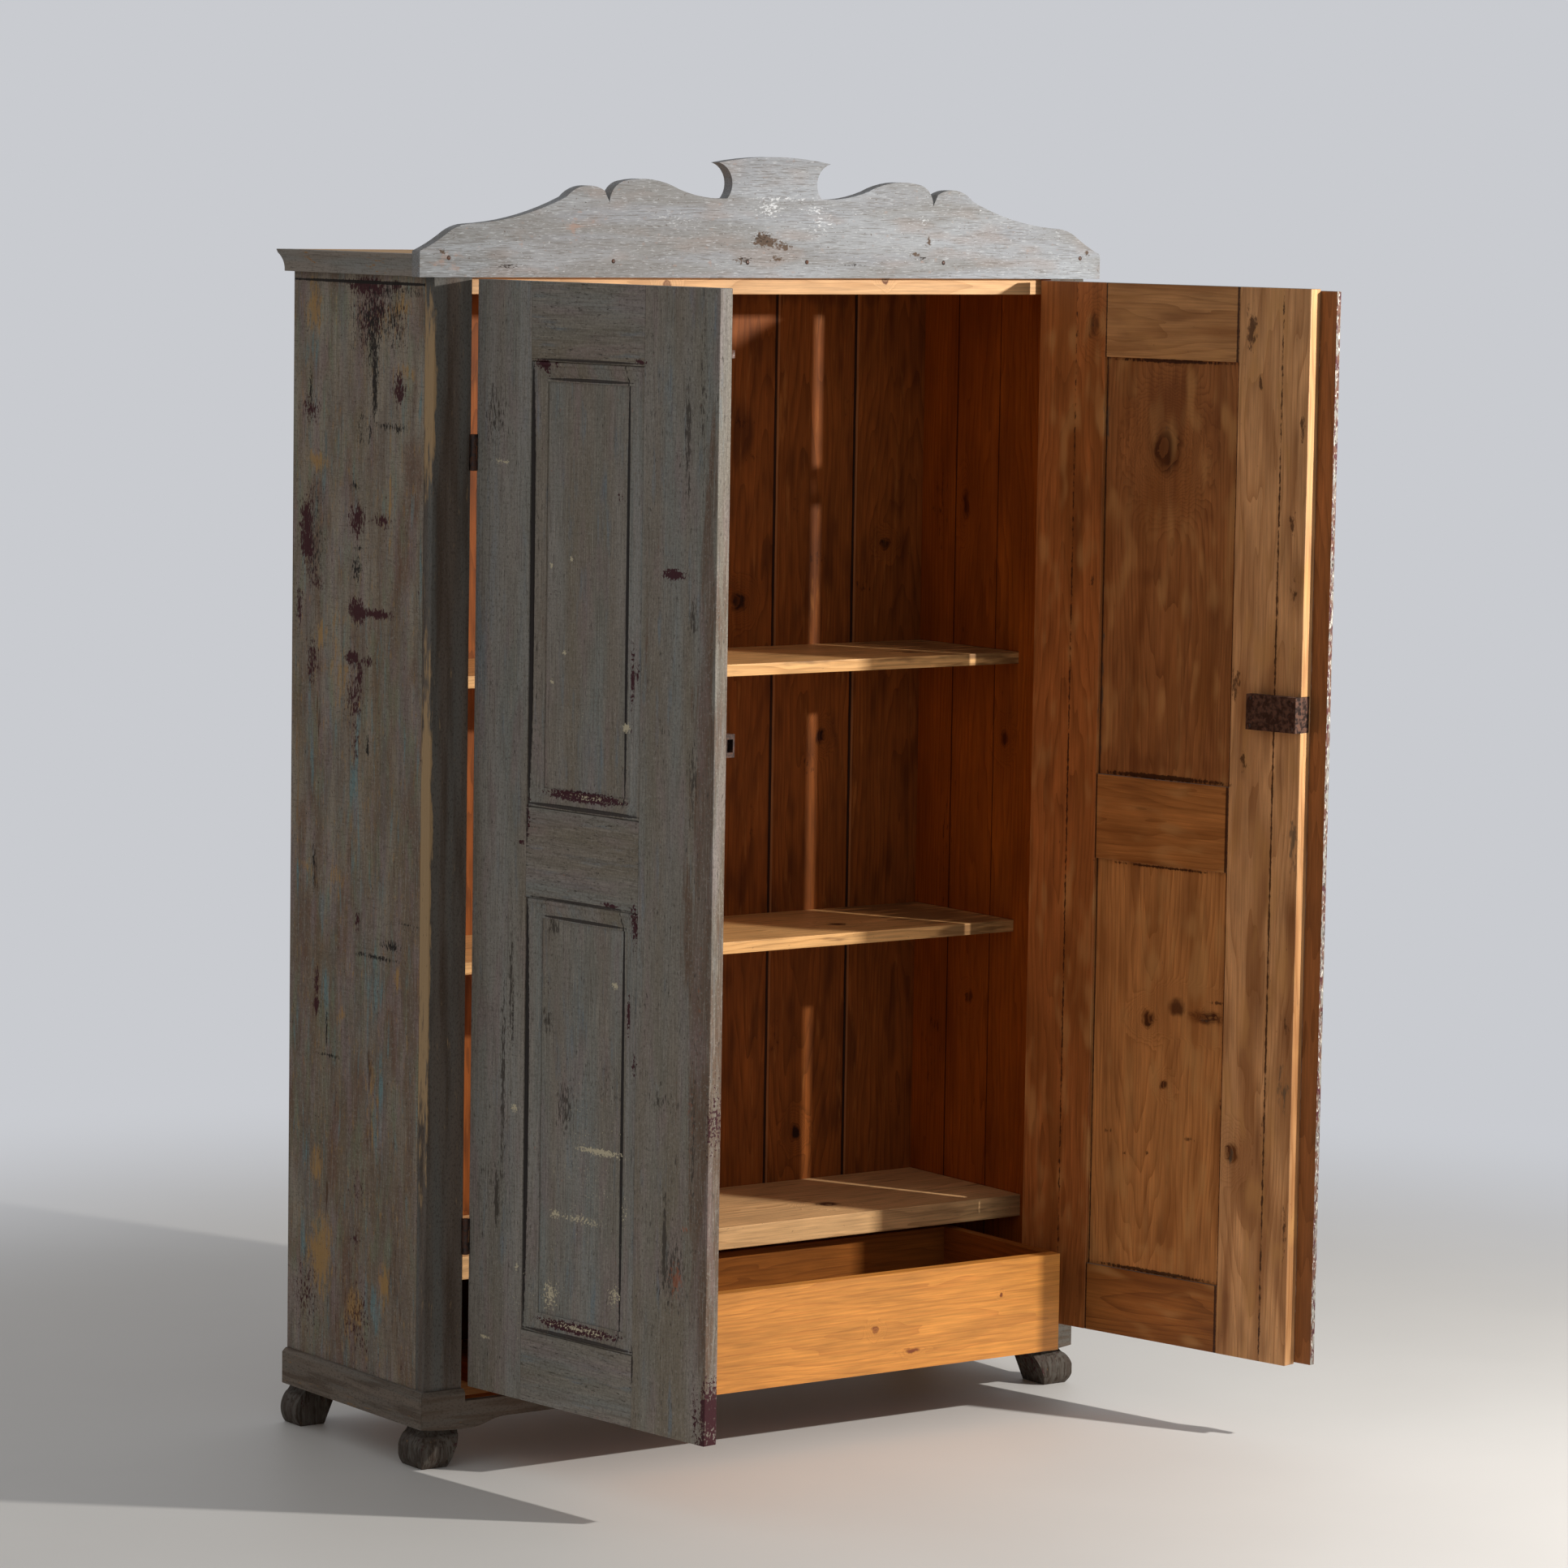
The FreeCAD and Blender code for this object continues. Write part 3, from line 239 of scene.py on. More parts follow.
def coats(tree, colour, height, late, site, turn, grain, layers, seed):
    """Coats, stains and painted light and shade over the wood, each where a noise drawn along the grain
    passes a threshold.
    A layer is its colour, the noise's size across and along the grain, the threshold and its
    softness, the layer's strength, its relief, and patches that raise the noise: a patch is its
    place in x and z, its reach in x and z, and its gain. Lengths are in mm from the site."""
    place = add(tree, "Mapping", {"Vector": add(tree, "TexCoord", out="Object"), "Location": site,
                                  "Rotation": (0, 0, math.radians(turn)), "Scale": MILLIMETRES},
                vector_type="TEXTURE")
    for number, layer in enumerate(layers):
        tone, across, along, threshold, softness, strength, relief, patches = layer
        stretch = (1 / across, 1 / across, 1 / along)
        if grain == "across":
            stretch = (1 / along, 1 / across, 1 / across)
        shift = (seed + 7.7 * number, seed * 1.9, seed * 0.8 - 3.1 * number)
        drawn = add(tree, "VectorMath", {0: place, 1: stretch, 2: shift}, operation="MULTIPLY_ADD")
        level = add(tree, "TexNoise", {"Vector": drawn, "Scale": 1, "Detail": 1 if across > 25 else 3,
                                       "Roughness": 0.6})
        for x, z, reach_x, reach_z, gain in patches:
            # The gradient thins out from its middle, so it is drawn wider and stronger than told.
            near = add(tree, "TexGradient", {"Vector": place}, out=1, gradient_type="SPHERICAL")
            spot = near.node.texture_mapping
            spot.vector_type = "TEXTURE"
            spot.translation = (x, 0, z)
            spot.scale = (reach_x * 1.25, 100000, reach_z * 1.25)
            level = add(tree, "Math", {0: near, 1: gain * 1.2, 2: level}, operation="MULTIPLY_ADD")
        cover = add(tree, "MapRange", {"Value": level, "From Min": threshold - softness,
                                       "From Max": threshold + softness, "To Max": strength},
                    interpolation_type="SMOOTHSTEP")
        colour = add(tree, "Mix", {0: cover, 6: colour, 7: tone}, out=2, data_type="RGBA")
        if relief:
            height = add(tree, "Math", {0: cover, 1: relief, 2: height}, operation="MULTIPLY_ADD")
    worn = add(tree, "MapRange", {"Value": late, "To Min": 1.01, "To Max": 0.9})
    colour = add(tree, "VectorMath", {0: colour, "Scale": worn}, operation="SCALE")
    return colour, height


def finish(name, centre, lay, heart, tones, knots=(), seed=0, turn=0, paint=None, bare_sides=(),
           marks=None):
    """A board's whole surface: pine with its marks, and paint on all its faces but those that face
    the bare sides' directions."""
    paint_roughness = 0.68
    roughness, specular = tones[3:]
    material, tree, shader = new_material(name)
    colour, height, late = pine(tree, centre, lay, turn, heart, knots, seed, tones)
    if marks:
        colour, height = coats(tree, colour, height, late, seed=seed + 3, **marks)
    if paint:
        over, relief = coats(tree, colour, height, late, seed=seed, **paint)
        if bare_sides:
            bare = 0
            for side in bare_sides:
                facing = add(tree, "VectorMath", {0: add(tree, "TexCoord", out="Normal"), 1: side},
                             out="Value", operation="DOT_PRODUCT")
                facing = add(tree, "MapRange", {"Value": facing, "From Min": 0.45, "From Max": 0.55})
                bare = add(tree, "Math", {0: facing, 1: bare}, operation="MAXIMUM")
            colour = add(tree, "Mix", {0: bare, 6: over, 7: colour}, out=2, data_type="RGBA")
            height = add(tree, "Mix", {0: bare, 2: relief, 3: height})
            roughness = add(tree, "Mix", {0: bare, 2: paint_roughness, 3: roughness})
        else:
            colour, height, roughness = over, relief, paint_roughness
    tree.links.new(colour, shader.inputs["Base Color"])
    if isinstance(roughness, float):
        shader.inputs["Roughness"].default_value = roughness
    else:
        tree.links.new(roughness, shader.inputs["Roughness"])
    shader.inputs["Specular IOR Level"].default_value = specular
    metres = add(tree, "Math", {0: height, 1: 0.001}, operation="MULTIPLY")
    bump = add(tree, "Bump", {"Height": metres, "Distance": 1, "Strength": 0.7})
    tree.links.new(bump, shader.inputs["Normal"])
    return material


def dress(name, material, edge=1.2):
    """Give a CAD board its finish, and ease its edges by that many mm as years of handling do."""
    piece = nodes[name]
    for slot in piece.material_slots:
        slot.material = material
    if edge:
        weld = piece.modifiers.new("weld", "WELD")
        weld.merge_threshold = 1e-5
        bevel = piece.modifiers.new("eased_edges", "BEVEL")
        bevel.width = edge / 1000
        bevel.segments = 2
        bevel.limit_method = "ANGLE"
        bevel.angle_limit = 0.6
        shading = piece.modifiers.new("flat_faces", "WEIGHTED_NORMAL")
        shading.keep_sharp = True


def middle(name):
    """The middle of a CAD board."""
    low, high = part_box(name)
    return (low + high) / 2


# The middle of the carcase's front on the floor.
WARDROBE = (-0.0147, 0.0783, 0)


def placed(name, layers, grain="up", site=WARDROBE, turn=0):
    """Coats, stains and painted light and shade placed on the whole wardrobe or a whole door, so they run
    on across joints.
    A piece keeps only the patches that reach it."""
    unturn = Matrix.Rotation(math.radians(-turn), 3, "Z")
    points = [unturn @ (vertex.co - Vector(site)) * 1000 for vertex in nodes[name].data.vertices]
    left, right = min(point.x for point in points), max(point.x for point in points)
    foot, top = min(point.z for point in points), max(point.z for point in points)
    kept = []
    for *look, patches in layers:
        reached = [patch for patch in patches if left - patch[2] < patch[0] < right + patch[2]
                   and foot - patch[3] < patch[1] < top + patch[3]]
        kept.append((*look, reached))
    return {"layers": kept, "grain": grain, "site": site, "turn": turn}


# Stains on the back boards' inner faces. The band at 1780 mm under the top rail is a painted shadow of
# the rail.
back_stains_shade_and_light = [
    ("#46230f", 26, 110, 0.63, 0.16, 0.6, 0, [
        (230, 1555, 40, 60, 0.2), (380, 1360, 60, 90, 0.16), (260, 1300, 60, 40, 0.12),
        (300, 1780, 300, 24, 0.3), (260, 800, 80, 80, 0.14), (420, 500, 60, 90, 0.16)]),
    ("#2d150a", 7, 16, 0.76, 0.09, 0.7, 0, [
        (222, 1570, 26, 14, 0.24), (238, 1512, 20, 10, 0.24), (375, 1345, 36, 20, 0.2),
        (330, 1440, 12, 60, 0.14), (430, 1600, 20, 40, 0.16), (470, 1290, 30, 20, 0.2),
        (360, 1000, 24, 40, 0.18), (250, 900, 10, 60, 0.16), (300, 560, 16, 60, 0.16)]),
    # The pale streaks at 250 and 300 mm are painted light: the strip of light that falls through the
    # right door's hinge gap.
    ("#a86a34", 10, 90, 0.68, 0.1, 0.55, 0, [(300, 1620, 24, 140, 0.16), (250, 1350, 12, 160, 0.1)]),
]
back_dust = [
    ("#8a7258", 60, 60, -1, 0.1, 0.72, 0, []),
    ("#6a5440", 26, 260, 0.54, 0.14, 0.6, 0, []),
    ("#a8906e", 7, 120, 0.6, 0.1, 0.5, 0, []),
    ("#4b392a", 2.4, 40, 0.66, 0.06, 0.7, -0.2, []),
]
back_boards = (
    ((40, -70, 200), [(-20, 300, 9, 11)]),
    ((-60, -50, -300), [(30, 560, 10, 12), (-35, -480, 8, 10)]),
    ((10, -45, 500), [(-25, -240, 11, 13)]),
    ((70, -60, -100), [(28, 330, 12, 14)]),
    ((-20, -50, 300), [(20, 100, 9, 11), (-18, -560, 10, 12)]),
    ((30, -40, -500), [(-10, 420, 8, 9)]),
)
for number, (heart, knots) in enumerate(back_boards, 1):
    name = f"back_board_{number}"

    # Dirt lies in the joints on both edges, and the left edge has worn pale beside it.
    edges = [(bound.x - WARDROBE[0]) * 1000 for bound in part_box(name)]
    dirt = [("#190b05", 4, 40, 0.8, 0.12, 0.9, 0, [(edge, 1060, 2.6, 4000, 1.4) for edge in edges])]
    pale = [("#a8744a", 4, 60, 0.8, 0.12, 0.5, 0, [(edges[0] + 5, 1060, 2, 4000, 1.2)])]
    material = finish(name + "_aged_pine", middle(name), "upright", heart, AGED, knots,
                      seed=number * 3.1, bare_sides=[(0, -1, 0)],
                      paint=placed(name, back_dust + dirt),
                      marks=placed(name, back_stains_shade_and_light + dirt + pale))
    dress(name, material, 1.6)

shelves = (
    ("bottom_board", SHELF, 1.5, [(40, -200, 12, 14)]),
    ("drawer_cover_board", RAW, 2.5, [(-60, 260, 14, 17), (70, -120, 10, 12)]),
    ("lower_shelf", SHELF, 1.5, [(-40, 300, 12, 14)]),
    ("upper_shelf", SHELF, 1.5, [(50, 120, 12, 14), (-60, 420, 10, 12)]),
)
# Stains on the shelves' tops. Their right ends are painted darker: painted shade where the right door's
# shadow falls.
shelf_stains_and_shade = [
    ("#4a2812", 16, 110, 0.68, 0.12, 0.7, 0, [(520, 1190, 110, 60, 0.3), (510, 760, 110, 60, 0.3)]),
    ("#2a170d", 3, 8, 0.72, 0.05, 0.85, 0, [(60, 340, 200, 10, 0.16), (330, 340, 160, 10, 0.14)]),
]
for number, (name, tones, edge, knots) in enumerate(shelves):
    material = finish(name + "_pine", middle(name), "flat", (20 - 30 * number, -60, 0), tones, knots,
                      seed=30 + number, marks=placed(name, shelf_stains_and_shade, "across"))
    dress(name, material, edge)

# Sides
# Wide pine boards from floor to top, painted outside in grey-blue milk paint that has worn through
# in streaks along the grain to older coats, ochre and ox blood, and to the wood. Bare inside.

# A first coat hides the wood everywhere, whatever the noise.
FULL_COAT = (60, 60, -1, 0.1, 1, 0, [])
BURGUNDY = "#3d141b"
OCHRE = "#a9834f"

# Faint blotches, hairlines and specks, the same on both sides.
side_weather = [
    ("#8f7b79", 26, 110, 0.6, 0.12, 0.55, 0, []),
    ("#808a70", 24, 90, 0.62, 0.12, 0.5, 0, []),
    ("#5b5146", 2.6, 60, 0.58, 0.1, 0.45, 0, []),
    ("#a89f92", 2.6, 50, 0.61, 0.1, 0.4, 0, []),
    ("#5b5146", 3, 5, 0.58, 0.1, 0.5, 0, []),
    ("#a19a90", 3.4, 5, 0.62, 0.08, 0.4, 0, []),
    ("#574b3f", 16, 1.6, 0.6, 0.08, 0.4, 0, []),
]
side_paint = [
    ("#7d6f63", *FULL_COAT),
    ("#7b8482", 70, 900, 0.54, 0.16, 0.6, 0, [(345, 1650, 60, 160, 0.14), (285, 1510, 30, 60, 0.1)]),
    ("#8c7b62", 44, 400, 0.54, 0.14, 0.7, 0, [(170, 1450, 60, 200, 0.08), (140, 900, 80, 220, 0.1)]),
    ("#a09585", 34, 260, 0.56, 0.14, 0.8, 0, [
        (270, 1400, 36, 300, 0.24), (15, 1560, 30, 90, 0.2), (280, 900, 40, 120, 0.1),
        (190, 1640, 240, 200, 0.14)]),
    ("#6a523e", 90, 300, 0.62, 0.2, 0.55, 0, [(200, 500, 300, 640, 0.26)]),
    ("#735341", 40, 120, 0.64, 0.14, 0.7, 0, [
        (75, 1520, 36, 60, 0.16), (68, 1400, 34, 90, 0.2), (240, 250, 70, 130, 0.22),
        (255, 870, 36, 110, 0.14), (90, 700, 24, 130, 0.16), (165, 560, 14, 110, 0.14),
        (80, 240, 24, 100, 0.22), (330, 1120, 16, 90, 0.16)]),
    ("#6d8b8e", 14, 120, 0.65, 0.09, 0.85, 0, [
        (340, 1700, 50, 40, 0.12), (150, 700, 26, 90, 0.18), (140, 540, 18, 110, 0.18),
        (350, 1080, 16, 90, 0.18), (215, 1060, 28, 90, 0.16), (310, 840, 20, 50, 0.2),
        (290, 715, 26, 60, 0.2), (355, 430, 20, 50, 0.2), (145, 225, 26, 40, 0.26),
        (360, 300, 14, 70, 0.18), (215, 960, 20, 80, 0.16), (285, 1510, 26, 50, 0.12)]),
    *side_weather,
    ("#4f3524", 6, 60, 0.72, 0.08, 0.8, 0, [
        (165, 560, 10, 100, 0.2), (85, 250, 26, 90, 0.16), (250, 230, 60, 100, 0.1),
        (330, 880, 8, 70, 0.26), (290, 380, 7, 50, 0.28), (325, 1120, 14, 60, 0.18)]),
    ("#92704a", 4, 44, 0.74, 0.12, 0.85, 0, [
        (8, 880, 22, 420, 0.3), (8, 1650, 20, 140, 0.3), (6, 1330, 12, 220, 0.3),
        (388, 1050, 8, 160, 0.2)]),
    (OCHRE, 7, 26, 0.7, 0.14, 0.8, 0, [
        (345, 1758, 28, 44, 0.3), (90, 1766, 30, 26, 0.26), (335, 1522, 34, 18, 0.34),
        (322, 1250, 12, 30, 0.3), (285, 1250, 30, 60, 0.14), (308, 285, 40, 70, 0.38),
        (118, 262, 20, 40, 0.38), (322, 422, 18, 34, 0.36), (210, 210, 36, 50, 0.26),
        (255, 1180, 26, 60, 0.16), (160, 560, 20, 60, 0.16), (88, 745, 12, 40, 0.24),
        (270, 880, 34, 40, 0.16), (252, 668, 12, 14, 0.26), (75, 1665, 40, 16, 0.16),
        (150, 1745, 60, 30, 0.12), (120, 1480, 5, 90, 0.26), (360, 890, 34, 14, 0.16),
        (20, 520, 8, 30, 0.2)]),
    (BURGUNDY, 3.4, 8, 0.7, 0.07, 0.95, 0, [
        (200, 1796, 66, 16, 0.32), (190, 1742, 46, 60, 0.2), (150, 1764, 30, 44, 0.18),
        (106, 1796, 24, 12, 0.3), (100, 1740, 34, 34, 0.14), (97, 1642, 20, 30, 0.34),
        (355, 1602, 32, 26, 0.24), (216, 1437, 28, 30, 0.34), (142, 1440, 34, 12, 0.26),
        (366, 1430, 26, 50, 0.34), (362, 1380, 28, 34, 0.26), (336, 1338, 30, 20, 0.2),
        (386, 1295, 12, 44, 0.28), (215, 1297, 28, 24, 0.42), (158, 1297, 56, 9, 0.4),
        (226, 1226, 26, 13, 0.38), (178, 1222, 24, 9, 0.28), (203, 1200, 9, 24, 0.24),
        (345, 1212, 20, 46, 0.26), (220, 1165, 30, 50, 0.24), (216, 1085, 18, 34, 0.2),
        (205, 824, 9, 20, 0.3), (326, 672, 12, 14, 0.4), (326, 712, 9, 40, 0.28),
        (200, 400, 34, 24, 0.14), (350, 215, 44, 70, 0.17), (195, 200, 44, 80, 0.16),
        (202, 322, 26, 20, 0.17)]),
    # Hairline cracks in the paint. The long line at 1801 mm is a painted shadow under the cornice.
    ("#231d19", 2.4, 8, 0.7, 0.05, 0.95, -0.3, [
        (170, 1690, 20, 84, 0.16), (166, 1640, 8, 60, 0.26), (100, 1583, 30, 8, 0.26),
        (140, 1585, 22, 7, 0.2), (356, 1634, 6, 34, 0.3), (206, 1580, 14, 46, 0.16),
        (180, 1574, 9, 24, 0.2), (215, 1362, 18, 30, 0.24), (206, 1395, 24, 5, 0.22),
        (180, 1092, 5, 18, 0.34), (336, 890, 9, 56, 0.2), (104, 792, 34, 10, 0.28),
        (148, 770, 70, 5, 0.3), (295, 640, 3.5, 26, 0.4), (290, 600, 44, 4, 0.24),
        (222, 1490, 20, 12, 0.2), (60, 830, 60, 3, 0.2), (60, 1790, 40, 12, 0.16),
        (130, 1790, 20, 14, 0.16), (200, 1801, 260, 2.5, 0.8), (110, 1745, 40, 60, 0.16),
        (190, 1745, 60, 70, 0.16), (335, 1400, 30, 120, 0.14)]),
]
right_side_paint = [
    ("#7d6f63", *FULL_COAT),
    ("#7b8482", 70, 900, 0.54, 0.16, 0.6, 0, []),
    ("#8c7b62", 44, 400, 0.54, 0.14, 0.7, 0, [(170, 1300, 60, 260, 0.08)]),
    ("#9c9182", 40, 260, 0.56, 0.14, 0.7, 0, [(270, 1150, 40, 260, 0.2)]),
    ("#6e5a46", 90, 300, 0.62, 0.2, 0.55, 0, [(200, 560, 300, 640, 0.2)]),
    ("#735341", 40, 120, 0.64, 0.14, 0.7, 0, [
        (90, 1400, 36, 90, 0.16), (250, 240, 80, 120, 0.2), (90, 620, 30, 130, 0.16)]),
    ("#708a8c", 14, 120, 0.68, 0.09, 0.8, 0, [
        (240, 1500, 40, 60, 0.14), (140, 700, 26, 90, 0.16), (320, 400, 20, 70, 0.2)]),
    *side_weather,
    ("#4f3524", 6, 60, 0.72, 0.08, 0.8, 0, [(85, 260, 26, 90, 0.16), (300, 900, 10, 90, 0.2)]),
    ("#a98a66", 9, 60, 0.74, 0.12, 0.85, 0, [(12, 900, 30, 420, 0.5), (12, 1600, 26, 140, 0.46)]),
    (OCHRE, 9, 20, 0.72, 0.16, 0.7, 0, [
        (120, 300, 34, 50, 0.3), (330, 1450, 26, 34, 0.28), (260, 800, 20, 30, 0.2)]),
    (BURGUNDY, 3.4, 8, 0.7, 0.07, 0.95, 0, [
        (300, 1780, 60, 18, 0.28), (120, 1500, 34, 44, 0.24), (290, 1240, 40, 12, 0.32),
        (150, 900, 20, 50, 0.22), (310, 220, 46, 46, 0.24)]),
    ("#231d19", 2.4, 8, 0.7, 0.05, 0.95, -0.3, [
        (200, 1300, 20, 80, 0.18), (90, 1000, 40, 6, 0.26), (330, 640, 5, 60, 0.28)]),
]

# Stains on the inner faces, and two dark lines where boards are joined.
wall_stains = [
    ("#642f10", 50, 240, 0.62, 0.18, 0.45, 0, [(230, 1550, 260, 420, 0.16)]),
    ("#2d150a", 7, 30, 0.74, 0.08, 0.7, 0, [
        (330, 1420, 40, 130, 0.14), (270, 1215, 40, 50, 0.16), (300, 900, 34, 200, 0.12),
        (330, 500, 40, 160, 0.12)]),
    ("#a05a26", 9, 160, 0.68, 0.12, 0.5, 0, [(190, 1500, 20, 300, 0.1), (240, 560, 30, 200, 0.16)]),
    ("#1f0d05", 4, 40, 0.8, 0.12, 0.8, 0, [(290, 1000, 1.8, 4000, 1.2), (176, 1000, 1.4, 4000, 0.8)]),
]
for name, inward, layers, heart, seed, knots in (
    ("left_side", (1, 0, 0), side_paint, (30, 70, 100), 41, [(-60, -400, 11, 13)]),
    ("right_side", (-1, 0, 0), right_side_paint, (-30, -80, -200), 47,
     [(45, 490, 9, 22), (-70, 110, 10, 12), (10, -330, 9, 10)]),
):
    material = finish(name + "_painted_pine", middle(name), "side_upright", heart, WAXED, knots,
                      seed=seed, bare_sides=[inward], paint=placed(name, layers, turn=90),
                      marks=placed(name, wall_stains, turn=90))
    dress(name, material, 1.5)

# Face frame
# Two stiles and a bottom rail of the same pine, painted on the front and the outer edge, and a raw
# top rail behind the crest board, which only shows below it when the doors are open.
stile_paint = [
    ("#675c53", *FULL_COAT),
    ("#646663", 34, 700, 0.52, 0.14, 0.7, 0, []),
    ("#48392e", 24, 400, 0.56, 0.12, 0.7, 0, [(-585, 1500, 26, 300, 0.12)]),
    ("#37312c", 2.6, 5, 0.58, 0.1, 0.5, 0, []),
    ("#6b665f", 2.6, 4, 0.62, 0.08, 0.4, 0, []),
    ("#b0926c", 6, 40, 0.74, 0.12, 0.9, 0, [
        (-621, 880, 9, 430, 0.6), (-621, 1640, 9, 160, 0.6), (621, 1000, 9, 800, 0.5)]),
    ("#1f1b19", 1.8, 14, 0.71, 0.04, 0.9, -0.3, []),
]
for number, (name, hand) in enumerate((("left_stile", -1), ("right_stile", 1))):
    material = finish(name + "_painted_pine", middle(name), "upright", (20 * hand, 60, 200), WAXED,
                      [(10, 330 * hand, 8, 10)], seed=51 + number, bare_sides=[(-hand, 0, 0)],
                      paint=placed(name, stile_paint))
    dress(name, material)
name = "bottom_rail"
material = finish(name + "_painted_pine", middle(name), "across", (0, 50, 100), AGED, seed=53,
                  bare_sides=[(0, 0, 1)], paint=placed(name, stile_paint, "across"))
dress(name, material)
PALE = ("#dcae7c", "#b07e4c", "#6b3d1e", 0.6, 0.3)
material = finish("top_rail_raw_pine", middle("top_rail"), "across", (10, 50, 100), PALE,
                  [(5, -180, 7, 8), (-4, 240, 5, 6)], seed=54)
dress("top_rail", material)
material = finish("top_board_raw_pine", middle("top_board"), "flat", (20, -60, 0), RAW,
                  [(60, -300, 12, 15), (-80, 200, 14, 17), (20, 480, 10, 12)], seed=55)
dress("top_board", material, 1.5)

# Crest and cornice
# A scrolled board across the front and a hollow moulding along each side, in a paler, chalkier
# grey than the doors, scuffed white on the faces and dark with age on the sawn edges.
crest_paint = [
    ("#939599", *FULL_COAT),
    ("#84827e", 30, 300, 0.5, 0.14, 0.7, 0, [(-480, 1850, 240, 60, 0.14)]),
    ("#a3a7ac", 34, 240, 0.54, 0.14, 0.6, 0, [(150, 1900, 300, 60, 0.1)]),
    ("#958a84", 26, 90, 0.62, 0.12, 0.5, 0, [
        (0, 1846, 160, 14, 0.2), (450, 1838, 120, 14, 0.2), (-560, 1840, 90, 20, 0.14)]),
    ("#6a6560", 1.6, 30, 0.58, 0.08, 0.6, 0, [(-560, 1840, 160, 60, 0.06), (7, 1970, 90, 40, 0.05)]),
    ("#c3c6c9", 1.8, 14, 0.62, 0.08, 0.5, 0, []),
    ("#d2d4d6", 3, 7, 0.72, 0.06, 0.85, 0, [
        (-8, 1920, 34, 16, 0.22), (76, 1922, 30, 10, 0.18), (90, 1898, 30, 24, 0.14),
        (-180, 1897, 60, 20, 0.08), (290, 1905, 12, 8, 0.2), (20, 1936, 90, 4, 0.16)]),
    ("#a3887a", 8, 14, 0.72, 0.1, 0.6, 0, [
        (-376, 1884, 14, 22, 0.24), (-352, 1900, 40, 14, 0.14), (-600, 1835, 30, 20, 0.2)]),
    ("#54402f", 5, 7, 0.7, 0.08, 0.9, 0, [
        (-22, 1874, 22, 12, 0.34), (-4, 1866, 34, 9, 0.26), (22, 1860, 14, 6, 0.24),
        (-60, 1840, 20, 7, 0.24), (5, 1842, 16, 7, 0.24), (276, 1850, 14, 7, 0.28),
        (300, 1872, 7, 10, 0.26), (-608, 1851, 6, 6, 0.34), (621, 1855, 6, 6, 0.34)]),
    ("#2f2620", 2, 6, 0.72, 0.05, 0.9, -0.3, [
        (-22, 1874, 24, 10, 0.2), (-52, 1842, 16, 5, 0.26), (286, 1846, 18, 5, 0.24),
        (-490, 1830, 30, 5, 0.2), (150, 1834, 40, 5, 0.16)]),
]
material = finish("crest_painted_pine", middle("crest_board"), "across", (30, 60, 100), AGED, seed=61,
                  paint=placed("crest_board", crest_paint, "across"))
dress("crest_board", material, 1.5)
cornice_paint = [
    ("#948a80", *FULL_COAT),
    ("#8b8f8d", 30, 300, 0.54, 0.14, 0.6, 0, []),
    ("#665d53", 1.8, 40, 0.58, 0.08, 0.5, 0, []),
    ("#5b5146", 3, 5, 0.6, 0.08, 0.4, 0, []),
    ("#a0713c", 5, 20, 0.74, 0.06, 0.8, 0, [(140, 1830, 60, 20, 0.16), (330, 1835, 40, 16, 0.16)]),
    ("#262220", 1.6, 30, 0.7, 0.04, 0.9, -0.3, []),
]
for number, side in enumerate(("left", "right")):
    name = f"cornice_{side}"
    material = finish(f"{side}_cornice_painted_pine", middle(name), "side_deep", (0, 40, 50), AGED,
                      seed=63 + number, paint=placed(name, cornice_paint, "across", turn=90))
    dress(name, material, 0.8)

# Plinth and feet
# Boards mitred round the foot of the carcase and squat sawn feet under them, painted like the
# sides but kicked and mopped down to brown, with ox blood left on the feet's inner ends.
plinth_paint = [
    ("#655a50", *FULL_COAT),
    ("#62615c", 24, 300, 0.54, 0.14, 0.6, 0, []),
    ("#54463a", 10, 140, 0.56, 0.1, 0.7, 0, []),
    ("#443b33", 3, 5, 0.58, 0.08, 0.5, 0, []),
    ("#8f6a3d", 4, 30, 0.74, 0.06, 0.8, 0, [(200, 70, 200, 10, 0.1)]),
    ("#201c1a", 1.6, 30, 0.71, 0.04, 0.9, -0.3, []),
]
# The side boards take a paler first coat than the front board: one paint in a lit and a shaded copy,
# painted light and shade for how the light falls on each.
side_plinth_lit_paint = [("#786b5f", *FULL_COAT), *plinth_paint[1:]]
for name, lay, turn, layers, seed in (
    ("plinth_front", "across", 0, plinth_paint, 71),
    ("plinth_left", "side_deep", 90, side_plinth_lit_paint, 72),
    ("plinth_right", "side_deep", 90, side_plinth_lit_paint, 73),
):
    material = finish(name + "_painted_pine", middle(name), lay, (0, 40, 50), AGED, seed=seed,
                      paint=placed(name, layers, "across", turn=turn))
    dress(name, material)
foot_paint = [
    ("#4c433c", *FULL_COAT),
    ("#5b564f", 8, 60, 0.52, 0.08, 0.8, 0, []),
    ("#33281f", 5, 30, 0.56, 0.08, 0.8, 0, []),
    (BURGUNDY, 6, 8, 0.68, 0.06, 0.9, 0, [(540, 20, 30, 60, 0.3), (-540, 20, 30, 60, 0.3)]),
    ("#8f6a3d", 4, 14, 0.72, 0.05, 0.8, 0, []),
]
feet = ("left_front_foot", "right_front_foot", "left_back_foot", "right_back_foot")
for number, name in enumerate(feet):
    material = finish(name + "_painted_pine", middle(name), "upright", (10, 60, 0), AGED,
                      seed=75 + number, paint=placed(name, foot_paint))
    dress(name, material, 1.5)

